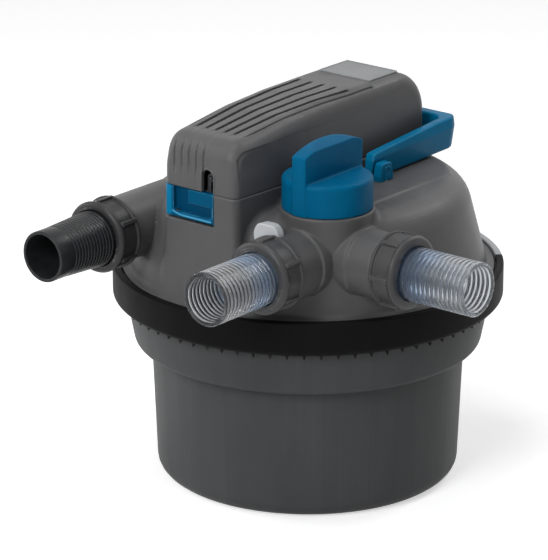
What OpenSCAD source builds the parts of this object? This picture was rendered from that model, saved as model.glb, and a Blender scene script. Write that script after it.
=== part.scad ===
// Pressurised pond canister filter: a bucket and domed lid held by a clamp ring,
// a UV head on the lid, a selector valve with two outlets, an inlet, and a
// pull handle that squeezes the foam rings inside.
// +Z is up, the origin is the centre of the flat foot, the head lies along Y.

/* [Bucket] */
// Outside radius of the bucket wall just under the collar
bucket_r = 114.4; // [96:0.1:137]
// Height of the bucket wall from the floor to the collar
wall_h = 99.7; // [84:0.1:120]
// How much the wall draws in on its way down to the foot
wall_draw = 3.6; // [1:0.1:6]
// Fillet round the foot
foot_fillet = 11; // [6:0.5:14]
// Wall thickness of the bucket, the lid and the cap
wall = 3; // [2.5:0.1:3.6]
// Thickness of the bucket floor
floor_t = 4; // [3:0.5:5]
// How far the collar stands out from the wall
collar_out = 11.9; // [9:0.1:14]
// How much the collar widens on its way up to the clamp ring
collar_flare = 6.7; // [3:0.1:8]
// Height of the collar below the clamp ring
collar_h = 34.8; // [28:0.1:42]

/* [Clamp ring] */
// How far the two flanges stand out from the collar
flange_out = 6.2; // [5:0.1:8]
// Thickness of the bucket flange
flange_t = 6.8; // [5:0.1:8]
// Thickness of the lid flange
lid_flange_t = 7.2; // [5:0.1:9]
// Thickness of the seal between the flanges
seal_t = 2.6; // [2:0.1:3]
// Thickness of the ring's upper and lower lips
ring_lip = 4; // [3:0.1:5]
// Wall thickness of the ring
ring_wall = 2.9; // [2.5:0.1:4]
// How far the upper lip reaches over the lid flange
lip_reach = 2.2; // [1.5:0.1:3]
// Number of short teeth under the ring
ring_teeth = 72; // [36:1:90]
// Height of the teeth under the ring
tooth_h = 3.5; // [2:0.1:4.5]
// Direction of the closing lever's free end, in degrees from +X
lever_from = 42; // [30:1:48]
// Direction of the closing lever's hinge end, in degrees from +X
lever_to = 70; // [60:1:80]

/* [Lid] */
// Height of the dome from the lid flange to its flat top
dome_h = 75.5; // [68:0.1:90]
// Lean of the dome's flank, in degrees from upright
dome_lean = 14.5; // [10:0.5:18]
// Radius of the dome's shoulder
dome_shoulder = 23; // [16:0.5:26]
// How far the dome's foot stands in from the edge of the flange
dome_inset = 10.9; // [9:0.1:13]

/* [UV head] */
// Width of the head across the cap
head_w = 66; // [60:0.5:76]
// How far the head reaches behind the centre
head_rear = 100; // [96:1:120]
// How far the head's front stands in from the dome's foot
head_set = 6.3; // [2:0.1:14]
// Height of the lid block above the dome, at its front
block_up = 16.3; // [14:0.1:20]
// How much the parting line falls from the front to the rear
part_fall = 6; // [0:0.5:8]
// Height of the cap above the parting line's front
cap_h = 48; // [44:0.5:58]
// Extra half width of the block at its foot
block_draft = 4; // [0:0.5:6]
// Corner radius of the head seen from above
head_corner = 11; // [6:0.5:14]
// Rounding over the cap's rear
cap_rear_r = 32; // [24:0.5:36]
// Width of the latch slot in the cap's front
slot_w = 9; // [7:0.5:12]
// Height of the latch slot
slot_h = 17; // [12:0.5:20]

// Width of the bare plate on the cap's top
label_w = 47; // [36:1:52]
// Length of the bare plate on the cap's top
label_l = 34; // [26:1:40]

/* [Latch] */
// Width of the latch
latch_w = 46; // [34:0.5:54]
// Height of the latch
latch_h = 23; // [18:0.5:26]
// Thickness of the latch
latch_t = 4.4; // [3.5:0.1:5]
// Radius of the latch pin
latch_pin_r = 1.2; // [1:0.1:1.5]

/* [Ports] */
// Height of the port axes above the foot of the dome
port_up = 47.4; // [40:0.1:52]
// Inside radius of the branches and hose tails
bore_r = 15.6; // [12:0.1:19]
// Wall thickness of a branch
branch_wall = 7.9; // [6:0.1:9]
// Wall thickness of the clear hose tails
tail_wall = 3.4; // [2.4:0.1:4]
// Wall thickness of the inlet tail at its end
inlet_wall = 2.8; // [2.2:0.1:3.6]
// How much thicker the inlet tail is beside its nut
inlet_taper = 1.9; // [0:0.1:2.4]
// Length of a hose tail from the branch end to its tip
tail_l = 63; // [52:0.5:76]
// Number of grip rings on a hose tail
tail_rings = 11; // [6:1:13]
// How far a union nut stands out round its branch
nut_wall = 3.5; // [3:0.1:5]
// Length of a union nut
nut_l = 20.4; // [17:0.1:25]
// Distance from the head's centre plane to the inlet axis
inlet_x = 78; // [70:0.5:84]
// Gap between the head's side and the valve housing
valve_gap = 1.5; // [1:0.1:6]
// Distance from the centre of the bucket forward to the valve axis
valve_y = 64; // [54:0.5:70]
// How far the valve's front branch ends beyond the dome's foot
drain_out = 4.7; // [3:0.1:12]
// How far the valve's side branch ends beyond the dome's foot
side_out = 7.2; // [3:0.1:14]
// How far the inlet branch ends beyond the dome's foot
inlet_out = 7.7; // [3:0.1:14]

/* [Selector] */
// Radius of the valve housing
housing_r = 33.5; // [30:0.1:40]
// How far the knob stands in from the edge of the valve housing
knob_step = 1.5; // [0.5:0.1:5]
// Height of the knob's round base
knob_base_h = 23; // [18:0.5:28]
// Height of the knob with its grip
knob_h = 48; // [40:0.5:56]
// Thickness of the grip
grip_t = 12; // [9:0.5:14]
// Radius of the valve stem
stem_r = 7; // [5:0.5:8]

/* [Cleaning handle] */
// Distance of the handle's pivot behind the centre
pivot_y = 20; // [14:0.5:24]
// Height of the pivot above the dome
pivot_up = 8.5; // [8:0.1:12]
// Gap between the head's rear and the handle's bar
bar_gap = 8; // [7:0.5:28]
// Thickness of the arms seen from above
arm_t = 8; // [6:0.5:9]
// Height of the arms
arm_h = 20; // [16:0.5:22]
// Gap between the cap and each arm
arm_gap = 8; // [6:0.5:12]
// Thickness of the handle's bar
bar_t = 14; // [11:0.5:15]
// Radius of the pull rods
rod_r = 3.5; // [3:0.1:4]
// Radius of the handle's pivot pins
pivot_pin_r = 2.5; // [2:0.1:3]

/* [Filter stack] */
// Gap between the foam stack and the bucket's wall
water_gap = 9.8; // [6:0.1:24]
// Gap between the foam stack's top and the top of the bucket
stack_gap = 6.6; // [5:0.1:30]
// Outside radius of the centre tube
tube_r = 38; // [32:0.5:42]
// Wall thickness of the centre tube
tube_wall = 2.5; // [2:0.1:3]
// Thickness of the pressure plate and the top grid
grid_t = 4; // [3:0.5:5]

/* [UV unit] */
// Outside radius of the quartz sleeve
sleeve_r = 20; // [17:0.5:22]
// Wall thickness of the quartz sleeve
sleeve_wall = 1.6; // [1.2:0.1:2]
// Radius of one of the lamp's two tubes
lamp_r = 6.3; // [5:0.1:6.5]
// Length of the lamp below its base
lamp_l = 165; // [120:1:170]
// Width of the ballast
ballast_w = 46; // [36:0.5:50]
// Length of the ballast
ballast_l = 60; // [44:0.5:62]
// Height of the ballast
ballast_h = 30; // [22:0.5:34]

/* [Fits] */
// Clearance round pieces that turn or slide
run_gap = 0.3; // [0.3:0.05:0.5]
// Radial clearance of a pin in its hole
pin_gap = 0.05; // [0.02:0.01:0.1]

/* [Hidden] */
$fn = 96;
round_fn = 32;
far = 400;
eps = 0.01;

// Heights of the stacked rims
z_ring = wall_h + collar_h;
z_flange = z_ring + ring_lip + run_gap;
z_seal = z_flange + flange_t;
z_lid = z_seal + seal_t;
z_lid_flange = z_lid + lid_flange_t;
z_ring_top = z_lid_flange + run_gap + ring_lip;

// Radii of the stacked rims
collar_r = bucket_r + collar_out;
collar_top_r = collar_r + collar_flare;
flange_r = collar_top_r + flange_out;
ring_in_r = flange_r + 0.4;
ring_r = ring_in_r + ring_wall;
lip_in_r = flange_r - lip_reach;
lid_step_r = lip_in_r - 1.2;
lid_step_up = 2.6;

// Dome
z_dome = z_lid + dome_h;
dome_foot_r = flange_r - dome_inset;
z_dome_foot = z_lid + 17.8;
shoulder_z = z_dome - dome_shoulder;
flank_z = shoulder_z + dome_shoulder * sin(dome_lean);
flank_r = dome_foot_r - (flank_z - z_dome_foot) * tan(dome_lean);
shoulder_r = flank_r - dome_shoulder * cos(dome_lean);

// Head
head_half = head_w / 2;
y_front = head_set - dome_foot_r;
y_rear = head_rear;
head_l = y_rear - y_front;
z_part = z_dome + block_up;
z_cap = z_part + cap_h;
part_gap = 0.2;
tray_floor = z_dome + wall;
label_back = 25;
label_sunk = 1.2;

// Latch
latch_left = -head_half - 0.4;
latch_right = latch_left + latch_w;
slot_x = latch_right - 5.1;
latch_z = z_part - latch_h;
latch_pivot_y = y_front + 3.1;
latch_pivot_z = latch_z + 3.2;
knuckle_r = 2.7;
latch_depth = latch_t + 2.1;
hook_t = 1.6;
ear_x = latch_left + 9.4;
ear_w = 3.6;

// Ports
port_z = z_lid + port_up;
branch_r = bore_r + branch_wall;
nut_r = branch_r + nut_wall;
tail_r = bore_r + tail_wall;
inlet_tail_r = bore_r + inlet_wall;
inlet_root_r = inlet_tail_r + inlet_taper;
valve_x = head_half + valve_gap + housing_r;
front_reach = dome_foot_r + drain_out - valve_y;
side_reach = dome_foot_r + side_out - valve_x;
inlet_reach = dome_foot_r + inlet_out;
nut_front = 9.1;
thread_l = nut_l - nut_front + 1.5;
thread_turns = floor((thread_l - 3.4) / 3);
thread_core_r = branch_r - 1.1;
thread_r = branch_r - 0.2;
nut_bore_r = thread_r + run_gap;
gasket_t = 2;
bore_step = 0.4;
tail_flange_t = 3.5;
tail_flange_r = nut_bore_r - 1;
tail_land = 12;
lock_r = 11;

// Valve
knob_r = housing_r - knob_step;
housing_base_z = z_lid + 14;
housing_top_z = z_dome + 5.3;
cavity_r = housing_r - wall - 1;
cavity_z = housing_base_z + wall;
rotor_r = cavity_r - run_gap - 0.1;
rotor_z = cavity_z + run_gap;
rotor_h = housing_top_z - wall - run_gap - rotor_z;
knob_z = housing_top_z + run_gap;
stem_seal_t = 1.6;
spigot_r = stem_r - 2;
spigot_h = knob_base_h - 7;
screw_r = 1.4;
screw_head_z = port_z + bore_r + 1;

// Handle
guide_l = 14;
arm_in_x = head_half + arm_gap;
arm_out_x = arm_in_x + arm_t;
pivot_z = z_dome + pivot_up;
bar_front_y = y_rear + bar_gap;
bar_back_y = bar_front_y + bar_t;
head_block_t = 7;
head_in_x = arm_out_x + run_gap;
head_out_x = head_in_x + head_block_t;
rod_x = (head_in_x + head_out_x) / 2;

// Filter stack
plate_z = floor_t + 3;
stack_z = plate_z + grid_t;
stack_top = z_seal - stack_gap;
foam_r = bucket_r - wall_draw - wall - water_gap;
foam_h = (stack_top - stack_z) / 4;
tube_top = stack_top + grid_t + 7;
tube_foot_r = tube_r + 6;
rod_hole_r = rod_r + 1.2;

// UV unit
seal_ring_h = 2;
sleeve_flange_t = 2.5;
sleeve_flange_r = sleeve_r + 3.2;
sleeve_top = tray_floor + seal_ring_h + sleeve_flange_t;
lamp_top = sleeve_top - 6;
sleeve_bottom = lamp_top - lamp_l - 13.2;
lamp_base_h = 10;
lamp_base_r = sleeve_r - sleeve_wall - 1.2;
tray_z = sleeve_top + 5.4;
tray_t = 2;
tray_gap = 1.4;
socket_l = 28;
boss_r = 4;
boss_x = head_half - 11;
boss_xy = [for (x = [-boss_x, boss_x]) for (y = [y_front + 26, y_rear - 16]) [x, y]];
gland_y = -30;
gland_r = 5.6;
gland_z = z_dome + 7;

// Closing lever
lever_pin_r = 1.5;
knuckle_out = 0.6;
lever_knuckle_r = 3.2;
lever_pin_at = ring_r + knuckle_out;
knuckle_h = (z_ring_top - z_ring) / 3;

// Points along an arc, from angle a to angle b
function arc(c, r, a, b, steps = 8) =
  [for (i = [0:steps]) let (t = a + (b - a) * i / steps) [c[0] + r * cos(t), c[1] + r * sin(t)]];

// A ring of rectangular section
module ring(r_in, r_out, z, h) {
  translate([0, 0, z]) difference() {
    cylinder(r = r_out, h = h);
    translate([0, 0, -1]) cylinder(r = r_in, h = h + 2);
  }
}

// A flat slab of the head's plan with rounded corners, in by inset
module head_plan(inset, grow = 0) {
  r = head_corner - inset;
  w = head_half - inset + grow;
  low = y_front + inset;
  high = y_rear - inset;
  translate([-w, low + r]) square([2 * w, high - low - 2 * r]);
  translate([r - w, low]) square([2 * w - 2 * r, high - low]);
  for (x = [-1, 1]) for (y = [low + r, high - r])
    translate([x * (w - r), y]) circle(r = r, $fn = round_fn);
}

// A wedge of space about Z between two directions
module sector(a, b, z, h) {
  translate([0, 0, z]) linear_extrude(h)
    polygon(concat([[0, 0]], arc([0, 0], far, a, b, 2)));
}

// Moves a shape from its own +Z axis to a port: x, y, z of the port's end, and its turn
module at_front(x, y) {
  translate([x, y, port_z]) rotate([90, 0, 0]) children();
}

module at_side() {
  translate([valve_x + side_reach, -valve_y, port_z]) rotate([0, 90, 0]) children();
}

module at_drain() { at_front(valve_x, -valve_y - front_reach) children(); }
module at_inlet() { at_front(-inlet_x, -inlet_reach) children(); }

module bucket() {
  foot_r = bucket_r - wall_draw;
  outer = concat(
    [[0, 0]],
    arc([foot_r - foot_fillet, foot_fillet], foot_fillet, -90, 0),
    [[bucket_r, wall_h - 1], [bucket_r + 1, wall_h]],
    arc([collar_r - 6, wall_h + 6], 6, -90, 0, 4),
    [[collar_top_r, z_ring], [collar_top_r, z_flange], [flange_r, z_flange], [flange_r, z_seal],
     [0, z_seal]]);
  inner = concat(
    [[0, floor_t]],
    arc([foot_r - foot_fillet, foot_fillet + 1], foot_fillet - wall, -90, 0),
    [[bucket_r - wall, wall_h + 2]],
    arc([collar_r - 6, wall_h + 6 + wall], 6 - wall, -90, 0, 4),
    [[collar_top_r - wall, z_ring + wall], [collar_top_r - wall, z_seal + 1], [0, z_seal + 1]]);
  color("#3e4143") difference() {
    rotate_extrude() polygon(outer);
    rotate_extrude() polygon(inner);
  }
}

// Teeth hang under the clamp ring from direction a to direction b
module teeth(a, b) {
  pitch = 360 / ring_teeth;
  for (t = [a:pitch:b])
    rotate([0, 0, t]) translate([collar_top_r + 0.5, -0.7, z_ring - tooth_h])
      cube([ring_wall + 0.3, 1.4, tooth_h + 1]);
}

// Section of the clamp ring turned about Z
module ring_body() {
  rotate_extrude() polygon(concat(
    arc([ring_r - 4, z_ring + 4], 4, -90, 0, 6),
    arc([ring_r - 1.5, z_ring_top - 1.5], 1.5, 0, 90, 4),
    [[lip_in_r, z_ring_top], [lip_in_r, z_ring_top - ring_lip], [ring_in_r, z_ring_top - ring_lip],
     [ring_in_r, z_ring + ring_lip], [collar_top_r + 0.4, z_ring + ring_lip],
     [collar_top_r + 0.4, z_ring]]));
}

module clamp_ring() {
  color("#232426") {
    difference() {
      union() {
        ring_body();
        lever_knuckle(z_ring, knuckle_h);
        lever_knuckle(z_ring_top - knuckle_h, knuckle_h);
      }
      sector(lever_from, lever_to - 1.5, z_ring - 1, z_ring_top - z_ring + 2);
      sector(lever_to - 2, lever_to + 0.3, z_ring + knuckle_h, knuckle_h);
      lever_hole(lever_knuckle_r + run_gap, z_ring + knuckle_h, knuckle_h);
      lever_hole(lever_pin_r + pin_gap, z_ring - 1, 2 * knuckle_h + z_ring_top);
    }
    teeth(lever_to + 2.5, lever_from + 358);
  }
}

// A knuckle on the lever's pin
module lever_knuckle(z, h) { lever_hole(lever_knuckle_r, z, h); }

module lever_hole(r, z, h) {
  rotate([0, 0, lever_to]) translate([lever_pin_at, 0, z]) cylinder(r = r, h = h);
}

module ring_lever() {
  gap = 0.3;
  mid = knuckle_h - 2 * gap;
  color("#8a8e92") difference() {
    union() {
      intersection() {
        ring_body();
        sector(lever_from + 0.2, lever_to - 2.4, z_ring - 1, z_ring_top - z_ring + 2);
      }
      lever_knuckle(z_ring + knuckle_h + gap, mid);
      intersection() {
        difference() {
          ring_body();
          translate([0, 0, z_ring + knuckle_h + gap - far]) cylinder(r = far, h = far);
          translate([0, 0, z_ring_top - knuckle_h - gap]) cylinder(r = far, h = far);
        }
        sector(lever_to - 2.6, lever_to - 0.4, z_ring, z_ring_top - z_ring);
      }
    }
    lever_hole(lever_pin_r + pin_gap, z_ring, z_ring_top);
  }
}

module lever_pin() {
  color("silver") lever_hole(lever_pin_r, z_ring + 0.5, z_ring_top - z_ring - 1);
}

module lid_seal() {
  color("#1b1b1c") ring(collar_top_r - wall + 0.4, flange_r - 1.4, z_seal, seal_t);
}

// Outline of the dome, in by t
function dome_outline(t) = concat(
  [[dome_foot_r - t, z_dome_foot]],
  arc([shoulder_r, shoulder_z], dome_shoulder - t, dome_lean, 90, 12),
  [[0, z_dome - t]]);

// The block under the cap, in by inset, down to height z
module block_form(inset, z) {
  intersection() {
    hull() {
      translate([0, 0, z]) linear_extrude(eps)
        head_plan(inset, block_draft * (z_part - z) / (z_part - z_lid));
      translate([0, 0, z_part + 1]) linear_extrude(eps) head_plan(inset);
    }
    translate([-far / 2, 0, 0]) rotate([90, 0, 90]) linear_extrude(far)
      polygon([[y_front - 1, z - 1], [y_rear + 1, z - 1], [y_rear + 1, parting(y_rear + 1)],
               [y_front - 1, parting(y_front - 1)]]);
  }
}

// Height of the parting line at y
function parting(y) = z_part - part_fall * (y - y_front) / head_l;

// Branch with its thread, from the port's end back by len
module branch(len) {
  translate([0, 0, -len]) cylinder(r = branch_r, h = len - thread_l - 0.5);
  translate([0, 0, -len]) cylinder(r = thread_core_r, h = len);
  for (i = [0:thread_turns - 1]) translate([0, 0, -2.6 - i * 3]) cylinder(r = thread_r, h = 1.4);
}

// Room for a union nut to turn round its branch
module nut_relief() { ring(branch_r, nut_r + 0.6, nut_front - nut_l - 0.6, nut_l); }

module branch_bore(len) {
  translate([0, 0, -len]) cylinder(r = bore_r + bore_step, h = len + 1);
}

// Pocket in the block's front for the latch
module latch_pocket() {
  translate([latch_left - 10, y_front - 1, latch_z - run_gap])
    cube([latch_w + 10 + run_gap, latch_depth + 1, latch_h + 4]);
}

module latch_ears() {
  translate([ear_x, y_front + 1.2, latch_z - 1]) cube([ear_w, 8, latch_pivot_z - latch_z + 3.4]);
}

module lid() {
  color("#55524e") difference() {
    union() {
      rotate_extrude() polygon(concat(
        [[0, z_lid], [flange_r, z_lid], [flange_r, z_lid_flange], [lid_step_r, z_lid_flange],
         [lid_step_r, z_lid_flange + lid_step_up]],
        [[dome_foot_r + 3.2, z_lid_flange + lid_step_up + 1.6], [dome_foot_r + 1, z_dome_foot - 4]],
        dome_outline(0)));
      block_form(0, z_lid + 2);
      translate([valve_x, -valve_y, housing_base_z])
        cylinder(r = housing_r, h = housing_top_z - housing_base_z);
      at_drain() branch(front_reach);
      at_side() branch(side_reach);
      at_inlet() branch(inlet_reach - 60);
      rod_guides();
    }
    difference() {
      rotate_extrude()
        polygon(concat([[0, z_lid - 1], [dome_foot_r - wall, z_lid - 1]], dome_outline(wall)));
      translate([valve_x, -valve_y, housing_base_z]) cylinder(r = housing_r, h = far);
      at_inlet() branch(inlet_reach - 60);
      rod_guides();
      latch_backing();
    }
    front_chamber();
    tray_hollow();
    translate([valve_x, -valve_y, cavity_z]) cylinder(r = cavity_r, h = housing_top_z - wall - cavity_z);
    translate([valve_x, -valve_y, housing_base_z - 1]) cylinder(r = bore_r, h = wall + 2);
    translate([valve_x, -valve_y, housing_top_z - wall - 1]) cylinder(r = stem_r + run_gap, h = wall + 2);
    translate([valve_x, -valve_y, housing_top_z - stem_seal_t - 0.2]) cylinder(r = stem_r + 2.6, h = wall);
    at_drain() branch_bore(front_reach - 10);
    at_side() branch_bore(side_reach - 10);
    at_inlet() branch_bore(inlet_reach - 59);
    at_drain() nut_relief();
    at_side() nut_relief();
    at_inlet() nut_relief();
    cylinder(r = sleeve_r + 0.5, h = far);
    rod_holes(rod_r + run_gap, z_dome - 20, 40);
    rod_holes(rod_r + 2.5, z_dome - 20, 12);
    difference() {
      latch_pocket();
      latch_ears();
    }
    translate([ear_x - 1, latch_pivot_y, latch_pivot_z]) rotate([0, 90, 0])
      cylinder(r = latch_pin_r + pin_gap, h = latch_w + 6);
    translate([-head_half - 6, gland_y, gland_z]) rotate([0, 90, 0]) cylinder(r = gland_r - 1, h = 20);
  }
}

// Thick places under the dome that guide the pull rods
module rod_guides() { rod_holes(rod_r + 4.5, z_dome - guide_l, guide_l); }

// Wet space in the block's front, open below
module front_chamber() {
  difference() {
    block_form(wall, z_lid - 1);
    translate([-far / 2, y_front, z_dome - wall]) cube([far, far, far]);
    translate([valve_x, -valve_y, z_lid - 2]) cylinder(r = housing_r, h = far);
    latch_backing();
  }
}

// Wall behind the latch pocket
module latch_backing() {
  translate([-head_half - 2, y_front, latch_z - wall])
    cube([latch_w + 6, latch_depth + wall, latch_h + wall]);
}

// Dry tray above the dome, open to the cap, with its four bosses and sleeve collar left in
module tray_hollow() {
  difference() {
    translate([0, 0, tray_floor]) linear_extrude(40) head_plan(wall);
    for (p = boss_xy) translate([p[0], p[1], tray_floor]) cylinder(r = boss_r, h = tray_z - tray_floor);
    ring(sleeve_flange_r + 1.6, sleeve_flange_r + 4, tray_floor, 6);
    latch_backing();
  }
  for (p = boss_xy) translate([p[0], p[1], tray_floor + 1]) cylinder(r = 1.4, h = 20);
}

module nut_lock() {
  y = -valve_y - front_reach + nut_l - nut_front + 1.5;
  x = valve_x - 9.5;
  color("#b9babb") difference() {
    translate([x, y + 8, port_z + branch_r - 1.5]) rotate([90, 0, 0]) cylinder(r = lock_r, h = 8);
    translate([valve_x, y + 20, port_z]) rotate([90, 0, 0]) cylinder(r = branch_r + 0.1, h = 40);
    rotate_extrude() polygon(concat([[0, z_lid]], [[dome_foot_r, z_lid]], dome_outline(0)));
  }
}

// Hose tail: bore, flange, grip rings and a plain land at the tip
module tail(root_r, tip_r) {
  first = nut_front + 3;
  land_z = tail_l - tail_land;
  pitch = (land_z - first) / tail_rings;
  taper = (root_r - tip_r) / (land_z - first);
  groove = 0.7;
  grips = [for (i = [0:tail_rings - 1]) let (z = first + i * pitch, r = root_r - taper * i * pitch)
    each [[r, z], [r, z + 0.45 * pitch], [r - groove, z + 0.6 * pitch], [r - groove, z + 0.9 * pitch]]];
  rotate_extrude() polygon(concat(
    [[bore_r, gasket_t], [tail_flange_r, gasket_t], [tail_flange_r, gasket_t + tail_flange_t],
     [root_r, gasket_t + tail_flange_t]],
    grips,
    [[tip_r, land_z], [tip_r, tail_l], [bore_r, tail_l]]));
}

module inlet_tail() { color("#232426") at_inlet() tail(inlet_root_r, inlet_tail_r); }
module outlet_tail() { color("#c8d2d8", 0.5) at_side() tail(tail_r, tail_r); }
module drain_tail() { color("#c8d2d8", 0.5) at_drain() tail(tail_r, tail_r); }

// Union nut with grip ribs; tail_hole is the hole for the hose tail
module union_nut(tail_hole) {
  lead = gasket_t + tail_flange_t + run_gap;
  back = nut_front - nut_l;
  difference() {
    union() {
      translate([0, 0, back]) cylinder(r = nut_r - 1.4, h = nut_l - 5);
      translate([0, 0, nut_front - 5]) cylinder(r1 = nut_r - 1.4, r2 = nut_r - 3, h = 5, $fn = 72);
      for (i = [0:5]) rotate([0, 0, i * 60 + 30])
        translate([nut_r - 3, -2.2, back + 1]) cube([3, 4.4, nut_l - 8]);
    }
    translate([0, 0, back - 1]) cylinder(r = nut_bore_r, h = lead - back + 1);
    cylinder(r = tail_hole, h = far);
  }
}

module inlet_nut() { color("#2b2c2e") at_inlet() union_nut(inlet_root_r + 0.4); }
module outlet_nut() { color("#2b2c2e") at_side() union_nut(tail_r + 0.4); }
module drain_nut() { color("#2b2c2e") at_drain() union_nut(tail_r + 0.4); }

module hose_gaskets() {
  color("#1b1b1c") {
    at_inlet() ring(bore_r + bore_step, thread_core_r - 0.4, 0, gasket_t);
    at_side() ring(bore_r + bore_step, thread_core_r - 0.4, 0, gasket_t);
    at_drain() ring(bore_r + bore_step, thread_core_r - 0.4, 0, gasket_t);
  }
}

module centre_tube() {
  rows = 6;
  pitch = (stack_top - stack_z) / rows;
  color("#2f3133") difference() {
    union() {
      translate([0, 0, floor_t]) cylinder(r = tube_r, h = tube_top - floor_t);
      translate([0, 0, floor_t]) cylinder(r = tube_foot_r, h = plate_z - floor_t);
    }
    translate([0, 0, floor_t - 1]) cylinder(r = tube_r - tube_wall, h = far);
    for (row = [0:rows - 1]) for (i = [0:3])
      rotate([0, 0, i * 45 + 10]) translate([-far / 2, -4, stack_z + pitch * (row + 0.25)])
        cube([far, 8, pitch * 0.5]);
  }
}

// Holes where the pull rods pass
module rod_holes(r, z, h) {
  for (x = [-1, 1]) translate([x * rod_x, pivot_y, z]) cylinder(r = r, h = h);
}

// Water slots round a grid plate
module grid_slots(z, h) {
  inner = tube_r + 9;
  for (i = [0:11]) rotate([0, 0, i * 30]) translate([inner, -5, z])
    cube([foam_r - inner - 8, 10, h]);
}

module top_grid() {
  color("#2f3133") difference() {
    union() {
      translate([0, 0, stack_top]) cylinder(r = foam_r, h = grid_t);
      translate([0, 0, stack_top]) cylinder(r = tube_r + 5, h = grid_t + 5);
    }
    translate([0, 0, stack_top - 1]) cylinder(r = tube_r + 0.1, h = grid_t + 8);
    rod_holes(rod_hole_r, stack_top - 1, grid_t + 8);
    difference() {
      grid_slots(stack_top - 1, grid_t + 2);
      rod_holes(rod_hole_r + 3, stack_top - 2, grid_t + 4);
    }
  }
}

module pressure_plate() {
  color("#2f3133") difference() {
    translate([0, 0, plate_z]) cylinder(r = foam_r, h = grid_t);
    translate([0, 0, plate_z - 1]) cylinder(r = tube_r + 0.6, h = grid_t + 2);
    rod_holes(rod_r + pin_gap, plate_z - 1, grid_t + 2);
    difference() {
      grid_slots(plate_z - 1, grid_t + 2);
      rod_holes(rod_hole_r + 4, plate_z - 2, grid_t + 4);
    }
  }
}

// One foam ring of the stack, counted from the bottom
module foam(i) {
  difference() {
    ring(tube_r + 0.5, foam_r - 1, stack_z + i * foam_h, foam_h);
    rod_holes(rod_hole_r, stack_z + i * foam_h - 1, foam_h + 2);
  }
}

module foam_ring_1() { color("#2b5d8f") foam(0); }
module foam_ring_2() { color("#2b5d8f") foam(1); }
module foam_ring_3() { color("#8c3030") foam(2); }
module foam_ring_4() { color("#8c3030") foam(3); }

module pull_rods() {
  color("silver") for (x = [-1, 1])
    translate([x * rod_x, pivot_y, floor_t + 1]) cylinder(r = rod_r, h = pivot_z - 4.6 - floor_t - 1);
}

module rod_nuts() {
  color("silver") difference() {
    for (x = [-1, 1]) translate([x * rod_x, pivot_y, plate_z - 2.4])
      cylinder(r = rod_r + 2.8, h = 2.4, $fn = 6);
    rod_holes(rod_r + pin_gap, 0, plate_z);
  }
}

module rod_seals() {
  color("#1b1b1c") for (x = [-1, 1]) translate([x * rod_x, pivot_y, 0])
    ring(rod_r + 0.1, rod_r + 2.4, z_dome - guide_l + 2.5, 3.4);
}

// Blue head that carries the handle's pivot pin on top of each rod
module rod_heads() {
  color("#1c5d86") for (x = [-1, 1]) difference() {
    hull() {
      translate([x * rod_x, pivot_y, z_dome + 2.6]) cube([head_block_t, 15.2, 4], center = true);
      translate([x * rod_x, pivot_y, z_dome + 7.4]) cube([head_block_t, 10, 13.6], center = true);
    }
    translate([x * rod_x, pivot_y, 0]) cylinder(r = rod_r + pin_gap, h = pivot_z - 4.6);
    translate([x < 0 ? -far : 0, pivot_y, pivot_z]) rotate([0, 90, 0])
      cylinder(r = pivot_pin_r + pin_gap, h = far);
  }
}

module handle_pins() {
  color("silver") for (x = [-head_out_x + 0.4, arm_in_x + 0.3])
    translate([x, pivot_y, pivot_z]) rotate([0, 90, 0])
      cylinder(r = pivot_pin_r, h = head_out_x - arm_in_x - 0.7);
}

// Handle: a U seen from above, cut to its side outline
module cleaning_handle() {
  low = pivot_z - 7.4;
  top = low + arm_h;
  color("#1c5d86") difference() {
    intersection() {
      translate([0, 0, low - 5]) linear_extrude(arm_h + 20) difference() {
        hull() {
          for (x = [-1, 1]) {
            translate([x * (arm_out_x - 16), bar_back_y - 16]) circle(r = 16, $fn = round_fn);
            translate([x * (arm_out_x - 2), pivot_y - 5]) square([4, 4], center = true);
          }
        }
        hull() {
          for (x = [-1, 1]) {
            translate([x * (arm_in_x - 9), bar_front_y - 9]) circle(r = 9, $fn = round_fn);
            translate([x * (arm_in_x - 2), pivot_y - 12]) square([4, 4], center = true);
          }
        }
      }
      translate([-far / 2, 0, 0]) rotate([90, 0, 90]) linear_extrude(far) polygon([
        [pivot_y - 7, pivot_z - 1.2], [pivot_y - 5, pivot_z - 5.2], [pivot_y - 2, low],
        [bar_back_y - 10, low + 1.2], [bar_back_y, low + 7], [bar_back_y, top + 1],
        [bar_back_y - 5, top + 5.5], [bar_back_y - 28, top + 5], [pivot_y + 4, top],
        [pivot_y - 5, top - 1], [pivot_y - 7, top - 5.6]]);
    }
    translate([-far / 2, pivot_y, pivot_z]) rotate([0, 90, 0])
      cylinder(r = pivot_pin_r + pin_gap, h = far);
  }
}

// The cap's outer form, in by inset
module cap_form(inset) {
  top = z_cap - inset;
  nose_r = 14.5;
  nose_top = z_cap - 9;
  back_r = cap_rear_r;
  intersection() {
    translate([-far / 2, 0, 0]) rotate([90, 0, 90]) linear_extrude(far) polygon(concat(
      [[y_front + inset, z_part - 10]],
      arc([y_front + 1 + nose_r, nose_top - nose_r], nose_r - inset, 180, 105, 6),
      [[y_front + 0.28 * head_l, z_cap - 3.1 - inset], [y_front + 0.46 * head_l, z_cap - 0.7 - inset],
       [y_front + 0.68 * head_l, top]],
      arc([y_rear - back_r, z_cap - back_r], back_r - inset, 90, 0, 10),
      [[y_rear - inset, z_part - 10 - part_fall]]));
    translate([0, 0, z_part - 20]) linear_extrude(far) head_plan(inset);
    translate([0, far / 2, 0]) rotate([90, 0, 0]) linear_extrude(far) polygon(concat(
      arc([head_half - 11, z_cap - 11], 11 - inset, 0, 90, 6),
      arc([11 - head_half, z_cap - 11], 11 - inset, 90, 180, 6),
      [[inset - head_half, 0], [head_half - inset, 0]]));
  }
}

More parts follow.
